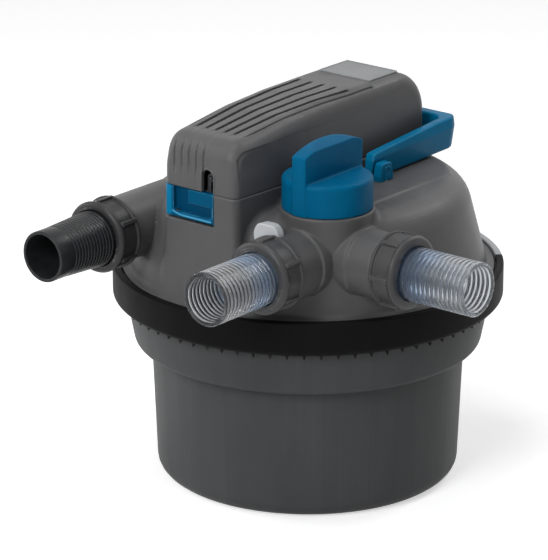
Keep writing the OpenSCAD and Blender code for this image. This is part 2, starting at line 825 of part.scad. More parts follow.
module uv_cap() {
  grooves = 5;
  groove_pitch = 9.7;
  color("#5a5753") difference() {
    cap_form(0);
    cap_form(wall);
    translate([-far / 2, 0, 0]) rotate([90, 0, 90]) linear_extrude(far) polygon([
      [y_front - 5, 0], [y_rear + 5, 0], [y_rear + 5, parting(y_rear + 5) + part_gap],
      [y_front - 5, parting(y_front - 5) + part_gap]]);
    label_space(0.1, 3);
    difference() {
      for (i = [0:grooves - 1])
        translate([(i - (grooves - 1) / 2) * groove_pitch - 1, y_front + 20, z_cap - 20])
          cube([2, 0.66 * head_l - 24, 30]);
      cap_form(1.4);
    }
    translate([slot_x - slot_w / 2, y_front - 2, z_part - 20])
      cube([slot_w, 8, 20 + slot_h - slot_w / 2]);
    translate([slot_x, y_front - 2, z_part + slot_h - slot_w / 2]) rotate([-90, 0, 0])
      cylinder(r = slot_w / 2, h = 8);
  }
}

// Space for the bare plate on the cap's top, larger by gap on each side
module label_space(gap, h) {
  translate([-label_w / 2 - gap, y_rear - label_back - label_l - gap, z_cap - label_sunk])
    cube([label_w + 2 * gap, label_l + 2 * gap, h]);
}

module label_plate() {
  color("#7d7c79") label_space(0, label_sunk + 0.5);
}

// Latch plate with its frame, finger tab and knuckle
module cap_latch() {
  color("#1c5d86") difference() {
    union() {
      intersection() {
        union() {
          translate([latch_left, y_front, latch_z + 2.4]) cube([latch_w, latch_t, latch_h - 3]);
          translate([latch_left, y_front, latch_z + 1.8]) cube([latch_w, 2.2, 2]);
        }
        block_form(0.05, z_dome - 40);
      }
      translate([latch_left + 4, latch_pivot_y, latch_pivot_z]) rotate([0, 90, 0])
        cylinder(r = knuckle_r, h = latch_w - 4);
    }
    translate([latch_left + 9, y_front - 1, latch_z + 4]) cube([latch_w - 10, 1 + 2.2, latch_h - 8]);
    translate([ear_x - run_gap, y_front - 1, latch_z - 2]) cube([ear_w + 2 * run_gap, 12, 9]);
    translate([-far / 2, latch_pivot_y, latch_pivot_z]) rotate([0, 90, 0])
      cylinder(r = latch_pin_r + pin_gap, h = far);
    translate([latch_right, y_front - 2, latch_z - 2]) cube([10, 20, 60]);
  }
  color("#1c5d86") translate([latch_right - 22, y_front + 0.4, latch_z + 10.5])
    cube([21, 2.4, latch_h - 14]);
}

module latch_pin() {
  color("silver") translate([ear_x, latch_pivot_y, latch_pivot_z]) rotate([0, 90, 0])
    cylinder(r = latch_pin_r, h = latch_w - 5);
}

// Hook that rises from the latch into the cap's slot
module latch_hook() {
  w = slot_w - 2.4;
  color("#3a3a3a") translate([slot_x - w / 2, y_front + latch_t, latch_z + 9]) {
    cube([w, hook_t, latch_h - 9 + slot_h - 3]);
  }
}

module selector_knob() {
  skirt = 3;
  color("#1c5d86") translate([valve_x, -valve_y, knob_z]) difference() {
    union() {
      rotate_extrude() polygon(concat(
        [[0, 0], [knob_r, 0]],
        arc([knob_r - 3, knob_base_h - 3], 3, 0, 90, 5),
        [[0, knob_base_h]]));
      intersection() {
        cylinder(r = knob_r, h = knob_h);
        translate([-grip_t / 2, 0, 0]) rotate([90, 0, 90]) linear_extrude(grip_t) polygon(concat(
          [[-knob_r, 0]],
          arc([0, knob_h - 92], 92, 110, 70, 10),
          [[knob_r, 0]]));
      }
    }
    difference() {
      translate([0, 0, -1]) cylinder(r = knob_r - skirt, h = knob_base_h - skirt + 1);
      cylinder(r = stem_r + 4, h = knob_base_h);
    }
    translate([0, 0, -1]) cylinder(r = spigot_r + pin_gap, h = spigot_h + 2);
    translate([0, 0, -1]) cylinder(r = stem_r + 0.2, h = 3);
    cylinder(r = screw_r + pin_gap, h = spigot_h + 5);
  }
}

// Valve rotor: a drum with an elbow passage and a stem that the knob sits on
module valve_rotor() {
  color("#d8d8d4") translate([valve_x, -valve_y, rotor_z]) difference() {
    union() {
      cylinder(r = rotor_r, h = rotor_h);
      cylinder(r = stem_r, h = knob_z - rotor_z + 1.8);
      cylinder(r = spigot_r, h = knob_z - rotor_z + spigot_h);
    }
    translate([0, 0, -1]) cylinder(r = bore_r - 1, h = port_z - rotor_z + 1);
    translate([0, 0, port_z - rotor_z]) rotate([0, 90, 0]) cylinder(r = bore_r - 1, h = far);
    translate([0, 0, port_z - rotor_z]) sphere(r = bore_r - 1);
    translate([0, 0, port_z - rotor_z]) cylinder(r = screw_r + 0.2, h = far);
    translate([0, 0, port_z - rotor_z]) cylinder(r = screw_r + 2.5, h = screw_head_z + 2 - port_z);
  }
}

module knob_screw() {
  color("silver") translate([valve_x, -valve_y, screw_head_z]) {
    cylinder(r = screw_r + 2.1, h = 2);
    cylinder(r = screw_r, h = knob_z + spigot_h + 4 - screw_head_z);
  }
}

module valve_seal() {
  color("#1b1b1c") translate([valve_x, -valve_y, 0])
    ring(stem_r + 0.15, stem_r + 2.5, housing_top_z - stem_seal_t - 0.2, stem_seal_t);
}

module quartz_sleeve() {
  color("#dfe8ee", 0.4) rotate_extrude() polygon(concat(
    arc([0, sleeve_bottom + sleeve_r], sleeve_r, -90, 0, 8),
    [[sleeve_r, sleeve_top - sleeve_flange_t], [sleeve_flange_r, sleeve_top - sleeve_flange_t],
     [sleeve_flange_r, sleeve_top], [sleeve_r - sleeve_wall, sleeve_top]],
    arc([0, sleeve_bottom + sleeve_r], sleeve_r - sleeve_wall, 0, -90, 8)));
}

module sleeve_seal() {
  color("#1b1b1c") ring(sleeve_r + 0.6, sleeve_flange_r, tray_floor, seal_ring_h);
}

module sleeve_nut() {
  color("#c9c7c0") difference() {
    ring(sleeve_r - sleeve_wall, sleeve_flange_r + 1.2, sleeve_top, 5);
    for (i = [0:5]) rotate([0, 0, i * 60]) translate([sleeve_flange_r - 1, -2, sleeve_top + 2])
      cube([4, 4, 4]);
  }
}

module uv_lamp() {
  color("#f2f2ee") {
    translate([0, 0, lamp_top]) cylinder(r = lamp_base_r, h = lamp_base_h);
    for (x = [-1, 1]) translate([x * (lamp_r + 0.8), 0, lamp_top - lamp_l]) {
      cylinder(r = lamp_r, h = lamp_l);
    }
    translate([-lamp_r, -2.5, lamp_top - lamp_l + 3]) cube([2 * lamp_r, 5, 5]);
    for (x = [-4, 4]) translate([x, 0, sleeve_top]) cylinder(r = 1.2, h = tray_z + tray_t + 6 - sleeve_top);
  }
}

module lamp_socket() {
  color("#e8e6df") difference() {
    translate([-19, -socket_l / 2, tray_z + tray_t]) cube([38, socket_l, 12]);
    for (x = [-4, 4]) translate([x, 0, tray_z + tray_t - 1]) cylinder(r = 1.4, h = 9);
  }
}

module uv_tray() {
  color("#3a3a3a") difference() {
    translate([0, 0, tray_z]) linear_extrude(tray_t) intersection() {
      head_plan(wall + tray_gap);
      translate([-far / 2, y_front + latch_depth + wall + 1]) square([far, far]);
    }
    translate([0, 0, tray_z - 1]) cylinder(r = 9, h = tray_t + 2);
    for (p = boss_xy) translate([p[0], p[1], tray_z - 1]) cylinder(r = 1.7, h = tray_t + 2);
  }
}

module tray_screws() {
  color("silver") for (p = boss_xy) translate([p[0], p[1], tray_floor + 2]) {
    cylinder(r = 1.35, h = tray_z - tray_floor);
    translate([0, 0, tray_z + tray_t - tray_floor - 2]) cylinder(r = 3, h = 2);
  }
}

module ballast() {
  color("#d5d5d0") translate([-ballast_w / 2, socket_l / 2 + 6, tray_z + tray_t])
    cube([ballast_w, ballast_l, ballast_h]);
}

module terminal_block() {
  color("#efeee8") difference() {
    translate([-18, y_front + 62, tray_z + tray_t]) cube([36, 20, 12]);
    for (i = [0:3]) translate([-13.5 + i * 9, y_front + 72, tray_z + tray_t + 6]) cylinder(r = 2.4, h = 8);
  }
}

// Cable gland on the block's side, bored for the cable
module cable_gland() {
  x = -head_half - 12.5;
  color("#232426") translate([x, gland_y, gland_z]) rotate([0, 90, 0]) difference() {
    union() {
      cylinder(r = gland_r - 1.3, h = 17);
      translate([0, 0, 8]) cylinder(r = gland_r, h = 3.4);
    }
    translate([0, 0, -1]) cylinder(r = 3.2, h = 30);
  }
}

module gland_nut() {
  x = -head_half - 17.5;
  color("#2b2c2e") translate([x, gland_y, gland_z]) rotate([0, 90, 0]) difference() {
    union() {
      translate([0, 0, 4]) cylinder(r = gland_r + 0.6, h = 8.4, $fn = 6);
      cylinder(r = gland_r - 1.4, h = 5);
    }
    translate([0, 0, -1]) cylinder(r = 3.2, h = 30);
    translate([0, 0, 4.9]) cylinder(r = gland_r - 1.3 + pin_gap, h = 20);
  }
}

bucket();
clamp_ring();
lid_seal();
lid();
nut_lock();
inlet_tail();
outlet_tail();
drain_tail();
hose_gaskets();
valve_seal();
rod_seals();
centre_tube();
top_grid();
foam_ring_1();
foam_ring_2();
foam_ring_3();
foam_ring_4();
quartz_sleeve();
sleeve_seal();
sleeve_nut();
uv_lamp();
lamp_socket();
uv_tray();
tray_screws();
ballast();
terminal_block();
cable_gland();
gland_nut();
latch_pin();
lever_pin();
uv_cap();
label_plate();
cap_latch();
latch_hook();
selector_knob();
valve_rotor();
knob_screw();
pull_rods();
rod_heads();
handle_pins();
pressure_plate();
rod_nuts();
cleaning_handle();
inlet_nut();
outlet_nut();
drain_nut();
ring_lever();
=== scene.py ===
import math

import bmesh
import bpy
import numpy as np
from mathutils import Matrix, Vector


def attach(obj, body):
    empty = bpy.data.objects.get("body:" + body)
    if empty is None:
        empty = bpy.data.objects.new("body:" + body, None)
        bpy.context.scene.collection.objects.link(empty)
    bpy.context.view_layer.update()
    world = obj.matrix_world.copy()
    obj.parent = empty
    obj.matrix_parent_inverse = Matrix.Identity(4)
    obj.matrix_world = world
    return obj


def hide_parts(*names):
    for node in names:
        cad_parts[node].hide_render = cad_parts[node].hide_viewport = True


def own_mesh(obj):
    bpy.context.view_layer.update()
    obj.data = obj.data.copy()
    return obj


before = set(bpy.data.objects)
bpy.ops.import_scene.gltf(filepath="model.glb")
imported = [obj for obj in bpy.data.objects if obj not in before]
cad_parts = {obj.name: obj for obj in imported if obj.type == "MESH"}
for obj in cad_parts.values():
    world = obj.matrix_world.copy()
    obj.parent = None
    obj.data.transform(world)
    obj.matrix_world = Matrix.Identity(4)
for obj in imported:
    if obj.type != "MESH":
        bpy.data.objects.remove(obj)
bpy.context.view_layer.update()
mm = 0.001  # shapes below are in millimetres, objects in metres
print("packed pond filter loaded")

# view and light
viewFrom = {"turn": 39.13, "elevation": 19.1, "distance": 2.5, "lens": 219.97,
            "across": -0.0248, "height": 0.1423}


def aroundZ(azimuth, elevation, distance):
    # azimuth 0 stands in front (-Y), 90 at the right (+X)
    a, e = math.radians(azimuth), math.radians(elevation)
    return Vector((math.sin(a) * math.cos(e), -math.cos(a) * math.cos(e), math.sin(e))) * distance


def placeCamera(v):
    turn = math.radians(v["turn"])
    aim = Vector((v["across"] * math.cos(turn), v["across"] * math.sin(turn), v["height"]))
    data = bpy.data.cameras.new("studioCamera")
    data.lens, data.sensor_width = v["lens"], 36
    data.clip_start, data.clip_end = 0.05, 60
    camera = bpy.data.objects.new("studioCamera", data)
    back = aroundZ(v["turn"], v["elevation"], v["distance"])
    camera.location = aim + back
    camera.rotation_euler = (-back).to_track_quat("-Z", "Y").to_euler()
    bpy.context.scene.collection.objects.link(camera)
    bpy.context.scene.camera = camera


softBoxes = {  # azimuth, elevation, distance, width, height, watts
    "keyBox": (8, 32, 1.7, 0.7, 0.7, 13.5),
    "topBox": (-10, 76, 1.6, 0.7, 0.5, 7.0),
    "rimBox": (165, 44, 1.6, 0.3, 0.4, 4.5),
    "leftBox": (-64, 22, 1.8, 0.35, 1.0, 6.0),
}
lampAimHeight = 0.15  # the middle of the filter


def placeLights(boxes):
    for name, (azimuth, elevation, distance, wide, tall, watts) in boxes.items():
        data = bpy.data.lights.new(name, "AREA")
        data.shape, data.size, data.size_y, data.energy = "RECTANGLE", wide, tall, watts
        lamp = bpy.data.objects.new(name, data)
        back = aroundZ(azimuth, elevation, distance)
        lamp.location = back + Vector((0, 0, lampAimHeight))
        lamp.rotation_euler = (-back).to_track_quat("-Z", "Y").to_euler()
        bpy.context.scene.collection.objects.link(lamp)


def link(tree, source, target):
    tree.links.new(source, target)


def addNode(tree, kind, **values):
    node = tree.nodes.new(kind)
    for key, value in values.items():
        if hasattr(node, key):
            setattr(node, key, value)
        else:
            node.inputs[key.replace("_", " ")].default_value = value
    return node


def whiteForLens(tree):
    # 1 for camera, mirror and glass rays, 0 for the light that falls on things
    path = addNode(tree, "ShaderNodeLightPath")
    first = addNode(tree, "ShaderNodeMath", operation="MAXIMUM")
    both = addNode(tree, "ShaderNodeMath", operation="MAXIMUM")
    link(tree, path.outputs["Is Camera Ray"], first.inputs[0])
    link(tree, path.outputs["Is Glossy Ray"], first.inputs[1])
    link(tree, first.outputs[0], both.inputs[0])
    link(tree, path.outputs["Is Transmission Ray"], both.inputs[1])
    return both.outputs[0]


studio = {"ambient": 0.24, "white": 1.0, "floorColour": 0.82, "floorGlow": 0.56}


def makeWorld():
    world = bpy.data.worlds.new("studioWhite")
    bpy.context.scene.world = world
    world.use_nodes = True
    tree = world.node_tree
    tree.nodes.clear()
    out = addNode(tree, "ShaderNodeOutputWorld")
    ambient = addNode(tree, "ShaderNodeBackground", Color=(1, 1, 1, 1), Strength=studio["ambient"])
    white = addNode(tree, "ShaderNodeBackground", Color=(1, 1, 1, 1), Strength=studio["white"])
    mix = addNode(tree, "ShaderNodeMixShader")
    link(tree, whiteForLens(tree), mix.inputs[0])
    link(tree, ambient.outputs[0], mix.inputs[1])
    link(tree, white.outputs[0], mix.inputs[2])
    link(tree, mix.outputs[0], out.inputs[0])


def makeFloor():
    mesh = bpy.data.meshes.new("studioFloor")
    side = 8
    mesh.from_pydata([(-side, -side, 0), (side, -side, 0), (side, side, 0), (-side, side, 0)],
                     [], [(0, 1, 2, 3)])
    floor = bpy.data.objects.new("studioFloor", mesh)
    floor.location.z = -0.0001
    bpy.context.scene.collection.objects.link(floor)
    material = bpy.data.materials.new("paleFloor")
    material.use_nodes = True
    tree = material.node_tree
    tree.nodes.clear()
    out = addNode(tree, "ShaderNodeOutputMaterial")
    grey = studio["floorColour"]
    matte = addNode(tree, "ShaderNodeBsdfDiffuse", Color=(grey, grey, grey, 1))
    glow = addNode(tree, "ShaderNodeEmission", Color=(1, 1, 1, 1))
    amount = addNode(tree, "ShaderNodeMath", operation="MULTIPLY")
    amount.inputs[1].default_value = studio["floorGlow"]
    both = addNode(tree, "ShaderNodeAddShader")
    link(tree, whiteForLens(tree), amount.inputs[0])
    link(tree, amount.outputs[0], glow.inputs["Strength"])
    link(tree, matte.outputs[0], both.inputs[0])
    link(tree, glow.outputs[0], both.inputs[1])
    link(tree, both.outputs[0], out.inputs[0])
    mesh.materials.append(material)


bpy.context.scene.view_settings.view_transform = "Standard"
placeCamera(viewFrom)
placeLights(softBoxes)
makeWorld()
makeFloor()
print("camera, lamps and floor placed")


# finishes
def newGroup(name, inputs, outputs):
    group = bpy.data.node_groups.new(name, "ShaderNodeTree")
    for label, kind, value in inputs:
        socket = group.interface.new_socket(label, in_out="INPUT", socket_type=kind)
        socket.default_value = value
    for label, kind in outputs:
        group.interface.new_socket(label, in_out="OUTPUT", socket_type=kind)
    return group, group.nodes.new("NodeGroupInput"), group.nodes.new("NodeGroupOutput")


def noise(tree, where, scale, detail=3.0, rough=0.55):
    node = addNode(tree, "ShaderNodeTexNoise", Detail=detail, Roughness=rough)
    link(tree, where, node.inputs["Vector"])
    if isinstance(scale, (int, float)):
        node.inputs["Scale"].default_value = scale
    else:
        link(tree, scale, node.inputs["Scale"])
    return node.outputs["Fac"]


def maths(tree, operation, a, b=None):
    node = addNode(tree, "ShaderNodeMath", operation=operation)
    for k, value in enumerate((a, b)):
        if value is None:
            continue
        if isinstance(value, (int, float)):
            node.inputs[k].default_value = value
        else:
            link(tree, value, node.inputs[k])
    return node.outputs[0]


def spread(tree, value, low, high):
    node = addNode(tree, "ShaderNodeMapRange", clamp=True)
    link(tree, value, node.inputs["Value"])
    node.inputs["From Min"].default_value, node.inputs["From Max"].default_value = low, high
    return node.outputs["Result"]


def mouldedGroup():
    # fine grain, cloudy variation, rubbed edges (also used for painted edge highlights), settled dust of
    # moulded plastic, and a crevice mask for painted shade in creases
    group, entry, result = newGroup(
        "mouldedSurface",
        [("Grain Scale", "NodeSocketFloat", 1400.0), ("Cloud Scale", "NodeSocketFloat", 22.0),
         ("Flow", "NodeSocketFloat", 0.25)],
        [("Grain", "NodeSocketFloat"), ("Cloud", "NodeSocketFloat"), ("Edge", "NodeSocketFloat"),
         ("Dust", "NodeSocketFloat"), ("Crevice", "NodeSocketFloat")])
    place = addNode(group, "ShaderNodeTexCoord").outputs["Object"]
    geometry = addNode(group, "ShaderNodeNewGeometry")
    grain = noise(group, place, entry.outputs["Grain Scale"], 2.0)
    stretch = addNode(group, "ShaderNodeMapping")
    link(group, place, stretch.inputs["Vector"])
    sizes = addNode(group, "ShaderNodeCombineXYZ", X=1.0, Y=1.0)
    link(group, entry.outputs["Flow"], sizes.inputs["Z"])
    link(group, sizes.outputs[0], stretch.inputs["Scale"])
    cloud = noise(group, stretch.outputs[0], entry.outputs["Cloud Scale"], 5.0, 0.6)
    edge = spread(group, geometry.outputs["Pointiness"], 0.53, 0.62)
    # creases: the mask where shade is painted into grooves and corners
    crevice = spread(group, geometry.outputs["Pointiness"], 0.475, 0.4)
    broken = noise(group, place, 160, 4.0)
    edge = maths(group, "MULTIPLY", edge, spread(group, broken, 0.35, 0.6))
    up = addNode(group, "ShaderNodeSeparateXYZ")
    link(group, geometry.outputs["Normal"], up.inputs[0])
    settled = spread(group, up.outputs["Z"], 0.55, 1.0)
    dust = maths(group, "MULTIPLY", settled, spread(group, noise(group, place, 60, 6.0), 0.42, 0.75))
    for label, value in (("Grain", grain), ("Cloud", spread(group, cloud, 0.3, 0.7)), ("Edge", edge),
                         ("Dust", dust), ("Crevice", crevice)):
        link(group, value, result.inputs[label])
    return group


def streakGroup():
    # faint upright draw marks left by the mould
    group, entry, result = newGroup("drawMarks", [("Count", "NodeSocketFloat", 60.0)],
                                    [("Streak", "NodeSocketFloat")])
    place = addNode(group, "ShaderNodeTexCoord").outputs["Object"]
    parts = addNode(group, "ShaderNodeSeparateXYZ")
    link(group, place, parts.inputs[0])
    angle = maths(group, "ARCTAN2", parts.outputs["Y"], parts.outputs["X"])
    around = addNode(group, "ShaderNodeCombineXYZ")
    link(group, maths(group, "MULTIPLY", angle, entry.outputs["Count"]), around.inputs["X"])
    link(group, maths(group, "MULTIPLY", parts.outputs["Z"], 3.0), around.inputs["Y"])
    link(group, spread(group, noise(group, around.outputs[0], 1.0, 4.0), 0.3, 0.75),
         result.inputs["Streak"])
    return group


moulded, drawMarks = mouldedGroup(), streakGroup()


def tint(tree, first, second, factor):
    node = addNode(tree, "ShaderNodeMix", data_type="RGBA")
    sockets = [s for s in node.inputs if s.type == "RGBA"]
    for socket, value in zip(sockets, (first, second)):
        if isinstance(value, tuple):
            socket.default_value = (*value, 1)
        else:
            link(tree, value, socket)
    link(tree, factor, node.inputs[0])
    return [s for s in node.outputs if s.type == "RGBA"][0]


def plainColour(shade):
    # sRGB numbers 0-255 to linear
    def one(c):
        c = c / 255
        return c / 12.92 if c <= 0.04045 else ((c + 0.055) / 1.055) ** 2.4
    return tuple(one(c) for c in shade)


def startMaterial(name):
    material = bpy.data.materials.new(name)
    material.use_nodes = True
    tree = material.node_tree
    return material, tree, tree.nodes["Principled BSDF"]


def placeGroup(tree, group, **values):
    node = addNode(tree, "ShaderNodeGroup")
    node.node_tree = group
    for label, value in values.items():
        node.inputs[label.replace("_", " ")].default_value = value
    return node


def addBump(tree, shader, height, strength, distance):
    bump = addNode(tree, "ShaderNodeBump", Strength=strength, Distance=distance)
    link(tree, height, bump.inputs["Height"])
    link(tree, bump.outputs[0], shader.inputs["Normal"])


def plasticFinish(name, colour, cloudy, edgeWearAndHighlight, dusty, rough=0.42, swing=0.1, grain=1400.0, depth=0.4,
                  flow=0.25, edges=0.5, dust=0.25, streaks=0.0, streakCount=46.0, coat=0.0,
                  specular=0.2, crevices=0.7, grime=0.3, zones=()):
    material, tree, shader = startMaterial(name)
    look = placeGroup(tree, moulded, Grain_Scale=grain, Cloud_Scale=22.0, Flow=flow)
    paint = tint(tree, plainColour(colour), plainColour(cloudy), look.outputs["Cloud"])
    if streaks:
        marks = placeGroup(tree, drawMarks, Count=streakCount)
        paint = tint(tree, paint, plainColour(cloudy),
                     maths(tree, "MULTIPLY", marks.outputs["Streak"], streaks))
    # rubbed edges (painted edge highlights where a part's edge colour is bright), dust, and painted shade in
    # creases as a darker copy of the base colour
    for shade, mask, amount in ((edgeWearAndHighlight, "Edge", edges), (dusty, "Dust", dust),
                                ([grime * c for c in colour], "Crevice", crevices)):
        paint = tint(tree, paint, plainColour(shade), maths(tree, "MULTIPLY", look.outputs[mask], amount))
    if zones:  # painted shade and highlights that fade in from low to high along an axis, in millimetres
        parts = addNode(tree, "ShaderNodeSeparateXYZ")
        link(tree, addNode(tree, "ShaderNodeTexCoord").outputs["Object"], parts.inputs[0])
        for axis, low, high, shade in zones:
            paint = tint(tree, paint, plainColour(shade),
                         spread(tree, parts.outputs[axis], low * mm, high * mm))
    link(tree, paint, shader.inputs["Base Color"])
    gloss = maths(tree, "ADD", maths(tree, "MULTIPLY", look.outputs["Cloud"], swing), rough - swing / 2)
    gloss = maths(tree, "ADD", gloss, maths(tree, "MULTIPLY", look.outputs["Dust"], 0.2 * dust))
    link(tree, gloss, shader.inputs["Roughness"])
    shader.inputs["Specular IOR Level"].default_value = specular
    if coat:
        shader.inputs["Coat Weight"].default_value = coat
        shader.inputs["Coat Roughness"].default_value = 0.2
    addBump(tree, shader, look.outputs["Grain"], depth, 0.0004)
    return material


def ringBandGroup():
    # position along a hose tail: one band for each grip ring, and a mask for the end at the nut
    group, entry, result = newGroup(
        "ringBands", [("Axis", "NodeSocketVector", (0, -1, 0)), ("Start", "NodeSocketFloat", 0.0),
                      ("Pitch", "NodeSocketFloat", 0.0038)],
        [("Band", "NodeSocketFloat"), ("Near", "NodeSocketFloat")])
    place = addNode(group, "ShaderNodeTexCoord").outputs["Object"]
    dot = addNode(group, "ShaderNodeVectorMath", operation="DOT_PRODUCT")
    link(group, place, dot.inputs[0])
    link(group, entry.outputs["Axis"], dot.inputs[1])
    along = maths(group, "SUBTRACT", dot.outputs["Value"], entry.outputs["Start"])
    turns = maths(group, "DIVIDE", along, entry.outputs["Pitch"])
    wave = maths(group, "SINE", maths(group, "MULTIPLY", turns, 2 * math.pi))
    link(group, spread(group, wave, -0.1, 0.4), result.inputs["Band"])
    link(group, spread(group, along, 0.028, 0.012), result.inputs["Near"])
    return group


ringBands = ringBandGroup()
clearLook = {"pitch": 0.00378, "rough": 0.05, "crestRough": 0.3, "nearAmount": 0.6, "ior": 1.38,
             "quartzRough": 0.02, "quartzIor": 1.46}


def hoseFinish(name, axis, start, colour, deep, gap, near, clear):
    # clear moulded plastic: bright grip rings, gaps painted darker as shade, bluish beside the nut
    s = clearLook
    material, tree, shader = startMaterial(name)
    bands = placeGroup(tree, ringBands, Axis=axis, Start=start, Pitch=s["pitch"])
    look = placeGroup(tree, moulded, Grain_Scale=500.0, Cloud_Scale=60.0, Flow=0.25)
    paint = tint(tree, plainColour(colour), plainColour(deep), look.outputs["Cloud"])
    # painted shade: the gaps between the grip rings take a darker colour
    paint = tint(tree, paint, plainColour(gap), bands.outputs["Band"])
    paint = tint(tree, paint, plainColour(near),
                 maths(tree, "MULTIPLY", bands.outputs["Near"], s["nearAmount"]))
    link(tree, paint, shader.inputs["Base Color"])
    crest = maths(tree, "MULTIPLY", maths(tree, "SUBTRACT", 1.0, bands.outputs["Band"]), s["crestRough"])
    link(tree, maths(tree, "ADD", crest, s["rough"]), shader.inputs["Roughness"])
    shader.inputs["Transmission Weight"].default_value = clear
    shader.inputs["IOR"].default_value = s["ior"]
    addBump(tree, shader, look.outputs["Grain"], 0.05, 0.0003)
    return material


def quartzFinish(name, colour, deep):
    # clear quartz: faint flow lines and a cloudy tone
    material, tree, shader = startMaterial(name)
    look = placeGroup(tree, moulded, Grain_Scale=500.0, Cloud_Scale=60.0, Flow=1.0)
    link(tree, tint(tree, plainColour(colour), plainColour(deep), look.outputs["Cloud"]),
         shader.inputs["Base Color"])
    swing = maths(tree, "MULTIPLY", look.outputs["Cloud"], 0.05)
    link(tree, maths(tree, "ADD", swing, clearLook["quartzRough"]), shader.inputs["Roughness"])
    shader.inputs["Transmission Weight"].default_value = 1.0
    shader.inputs["IOR"].default_value = clearLook["quartzIor"]
    addBump(tree, shader, look.outputs["Grain"], 0.08, 0.0003)
    return material


def metalFinish(name, colour, dark):
    material, tree, shader = startMaterial(name)
    look = placeGroup(tree, moulded, Grain_Scale=2600.0, Cloud_Scale=90.0, Flow=0.1)
    link(tree, tint(tree, plainColour(colour), plainColour(dark), look.outputs["Cloud"]),
         shader.inputs["Base Color"])
    link(tree, maths(tree, "ADD", maths(tree, "MULTIPLY", look.outputs["Cloud"], 0.18), 0.22),
         shader.inputs["Roughness"])
    shader.inputs["Metallic"].default_value = 1.0
    addBump(tree, shader, look.outputs["Grain"], 0.15, 0.0002)
    return material


def foamFinish(name, colour, deep):
    # open cells: pores painted dark as shade between lighter webs
    material, tree, shader = startMaterial(name)
    place = addNode(tree, "ShaderNodeTexCoord").outputs["Object"]
    cells = addNode(tree, "ShaderNodeTexVoronoi", Scale=420.0)
    link(tree, place, cells.inputs["Vector"])
    pores = spread(tree, cells.outputs["Distance"], 0.05, 0.5)
    soft = noise(tree, place, 40, 4.0)
    # painted shade: the pores take the darker colour
    paint = tint(tree, plainColour(deep), plainColour(colour), pores)
    paint = tint(tree, paint, plainColour(deep), maths(tree, "MULTIPLY", spread(tree, soft, 0.4, 0.7), 0.4))
    link(tree, paint, shader.inputs["Base Color"])
    link(tree, maths(tree, "ADD", maths(tree, "MULTIPLY", soft, 0.1), 0.85), shader.inputs["Roughness"])
    addBump(tree, shader, pores, 0.9, 0.0012)
    return material


plastics = {  # base colour, cloudy tone, rubbed edges and painted edge highlights, dust; then what differs from the usual plastic
    "bucketGrey": ((80, 81, 82), (68, 69, 70), (112, 113, 114), (116, 116, 114),
                   {"rough": 0.52, "specular": 0.1, "streaks": 0.6, "flow": 0.15, "dust": 0.15}),
    "ringBlack": ((17, 16, 16), (12, 12, 12), (64, 62, 60), (62, 60, 58),
                  {"rough": 0.55, "dust": 0.12, "specular": 0.06}),
    "headGrey": ((86, 86, 87), (78, 78, 79), (122, 122, 123), (122, 122, 121),
                 {"flow": 0.4, "dust": 0.2, "specular": 0.26}),
    "capGrey": ((91, 91, 92), (83, 83, 84), (128, 128, 129), (128, 128, 127),
                {"rough": 0.38, "flow": 0.4, "dust": 0.2, "crevices": 1.0, "grime": 0.1}),
    "trimBlue": ((0, 99, 140), (0, 88, 127), (62, 150, 188), (80, 140, 168),
                 {"rough": 0.34, "swing": 0.08, "dust": 0.04, "edges": 0.6, "specular": 0.04}),
    # latch: its light edge colour at full strength is a painted highlight along every edge, and its zones
    # paint shade and highlights
    "latchBlue": ((0, 84, 120), (0, 76, 110), (120, 196, 230), (60, 120, 150),
                  {"rough": 0.3, "swing": 0.08, "dust": 0.0, "edges": 1.0, "specular": 0.06, "crevices": 0.9,
                   "zones": (("Y", -119.8, -119.0, (0, 66, 100)),      # painted shade on the floor of the window
                             ("X", -24.6, -26.0, (14, 118, 162)),      # painted highlight on the left edge
                             ("Y", -122.3, -122.9, (84, 172, 214)))}),  # painted highlight on the lip
    "handleBlue": ((0, 114, 156), (0, 102, 143), (110, 178, 206), (90, 150, 178),
                   {"rough": 0.34, "swing": 0.08, "dust": 0.1, "edges": 0.9, "specular": 0.06}),
    "nutBlack": ((52, 52, 53), (42, 42, 43), (112, 112, 113), (84, 84, 83),
                 {"rough": 0.33, "dust": 0.12, "edges": 0.7, "specular": 0.22, "crevices": 0.4}),
    "nutGrey": ((70, 70, 71), (60, 60, 61), (124, 124, 125), (96, 96, 95),
                {"rough": 0.33, "dust": 0.12, "edges": 0.7, "specular": 0.22, "crevices": 0.4}),
    "tailBlack": ((33, 34, 36), (27, 28, 30), (74, 76, 78), (74, 76, 78),
                  {"rough": 0.3, "dust": 0.1, "specular": 0.25}),
    "trimGrey": ((196, 199, 202), (178, 181, 184), (232, 233, 234), (206, 207, 207),
                 {"rough": 0.36, "crevices": 0.5}),
    "plateGrey": ((136, 139, 140), (128, 131, 132), (226, 228, 229), (152, 154, 154),
                  {"rough": 0.36, "edges": 0.9}),
    "sealRubber": ((26, 26, 27), (20, 20, 21), (48, 48, 48), (70, 70, 68),
                   {"rough": 0.7, "swing": 0.2, "depth": 0.6}),
    "innerBlack": ((44, 45, 47), (36, 37, 39), (76, 78, 80), (90, 88, 84), {"rough": 0.5}),
    "ivoryPlastic": ((226, 223, 214), (214, 210, 200), (238, 236, 230), (200, 196, 186), {"rough": 0.45}),
    "lampCoat": ((238, 238, 232), (228, 229, 226), (246, 246, 244), (214, 212, 204),
                 {"rough": 0.2, "swing": 0.06, "grain": 2600.0, "coat": 0.4}),
    "ballastShell": ((206, 206, 200), (192, 192, 188), (226, 226, 222), (180, 178, 172),
                     {"rough": 0.55, "grain": 900.0, "depth": 0.8}),
    # hook: its near-white edge colour is a painted highlight along the edges
    "hookGrey": ((50, 52, 54), (42, 44, 46), (206, 208, 206), (96, 98, 98),
                 {"rough": 0.3, "edges": 1.0, "dust": 0.1, "crevices": 0.6}),
}
finishes = {name: plasticFinish(name, *shades, **rest) for name, (*shades, rest) in plastics.items()}
finishes["steel"] = metalFinish("steel", (196, 197, 198), (160, 162, 164))
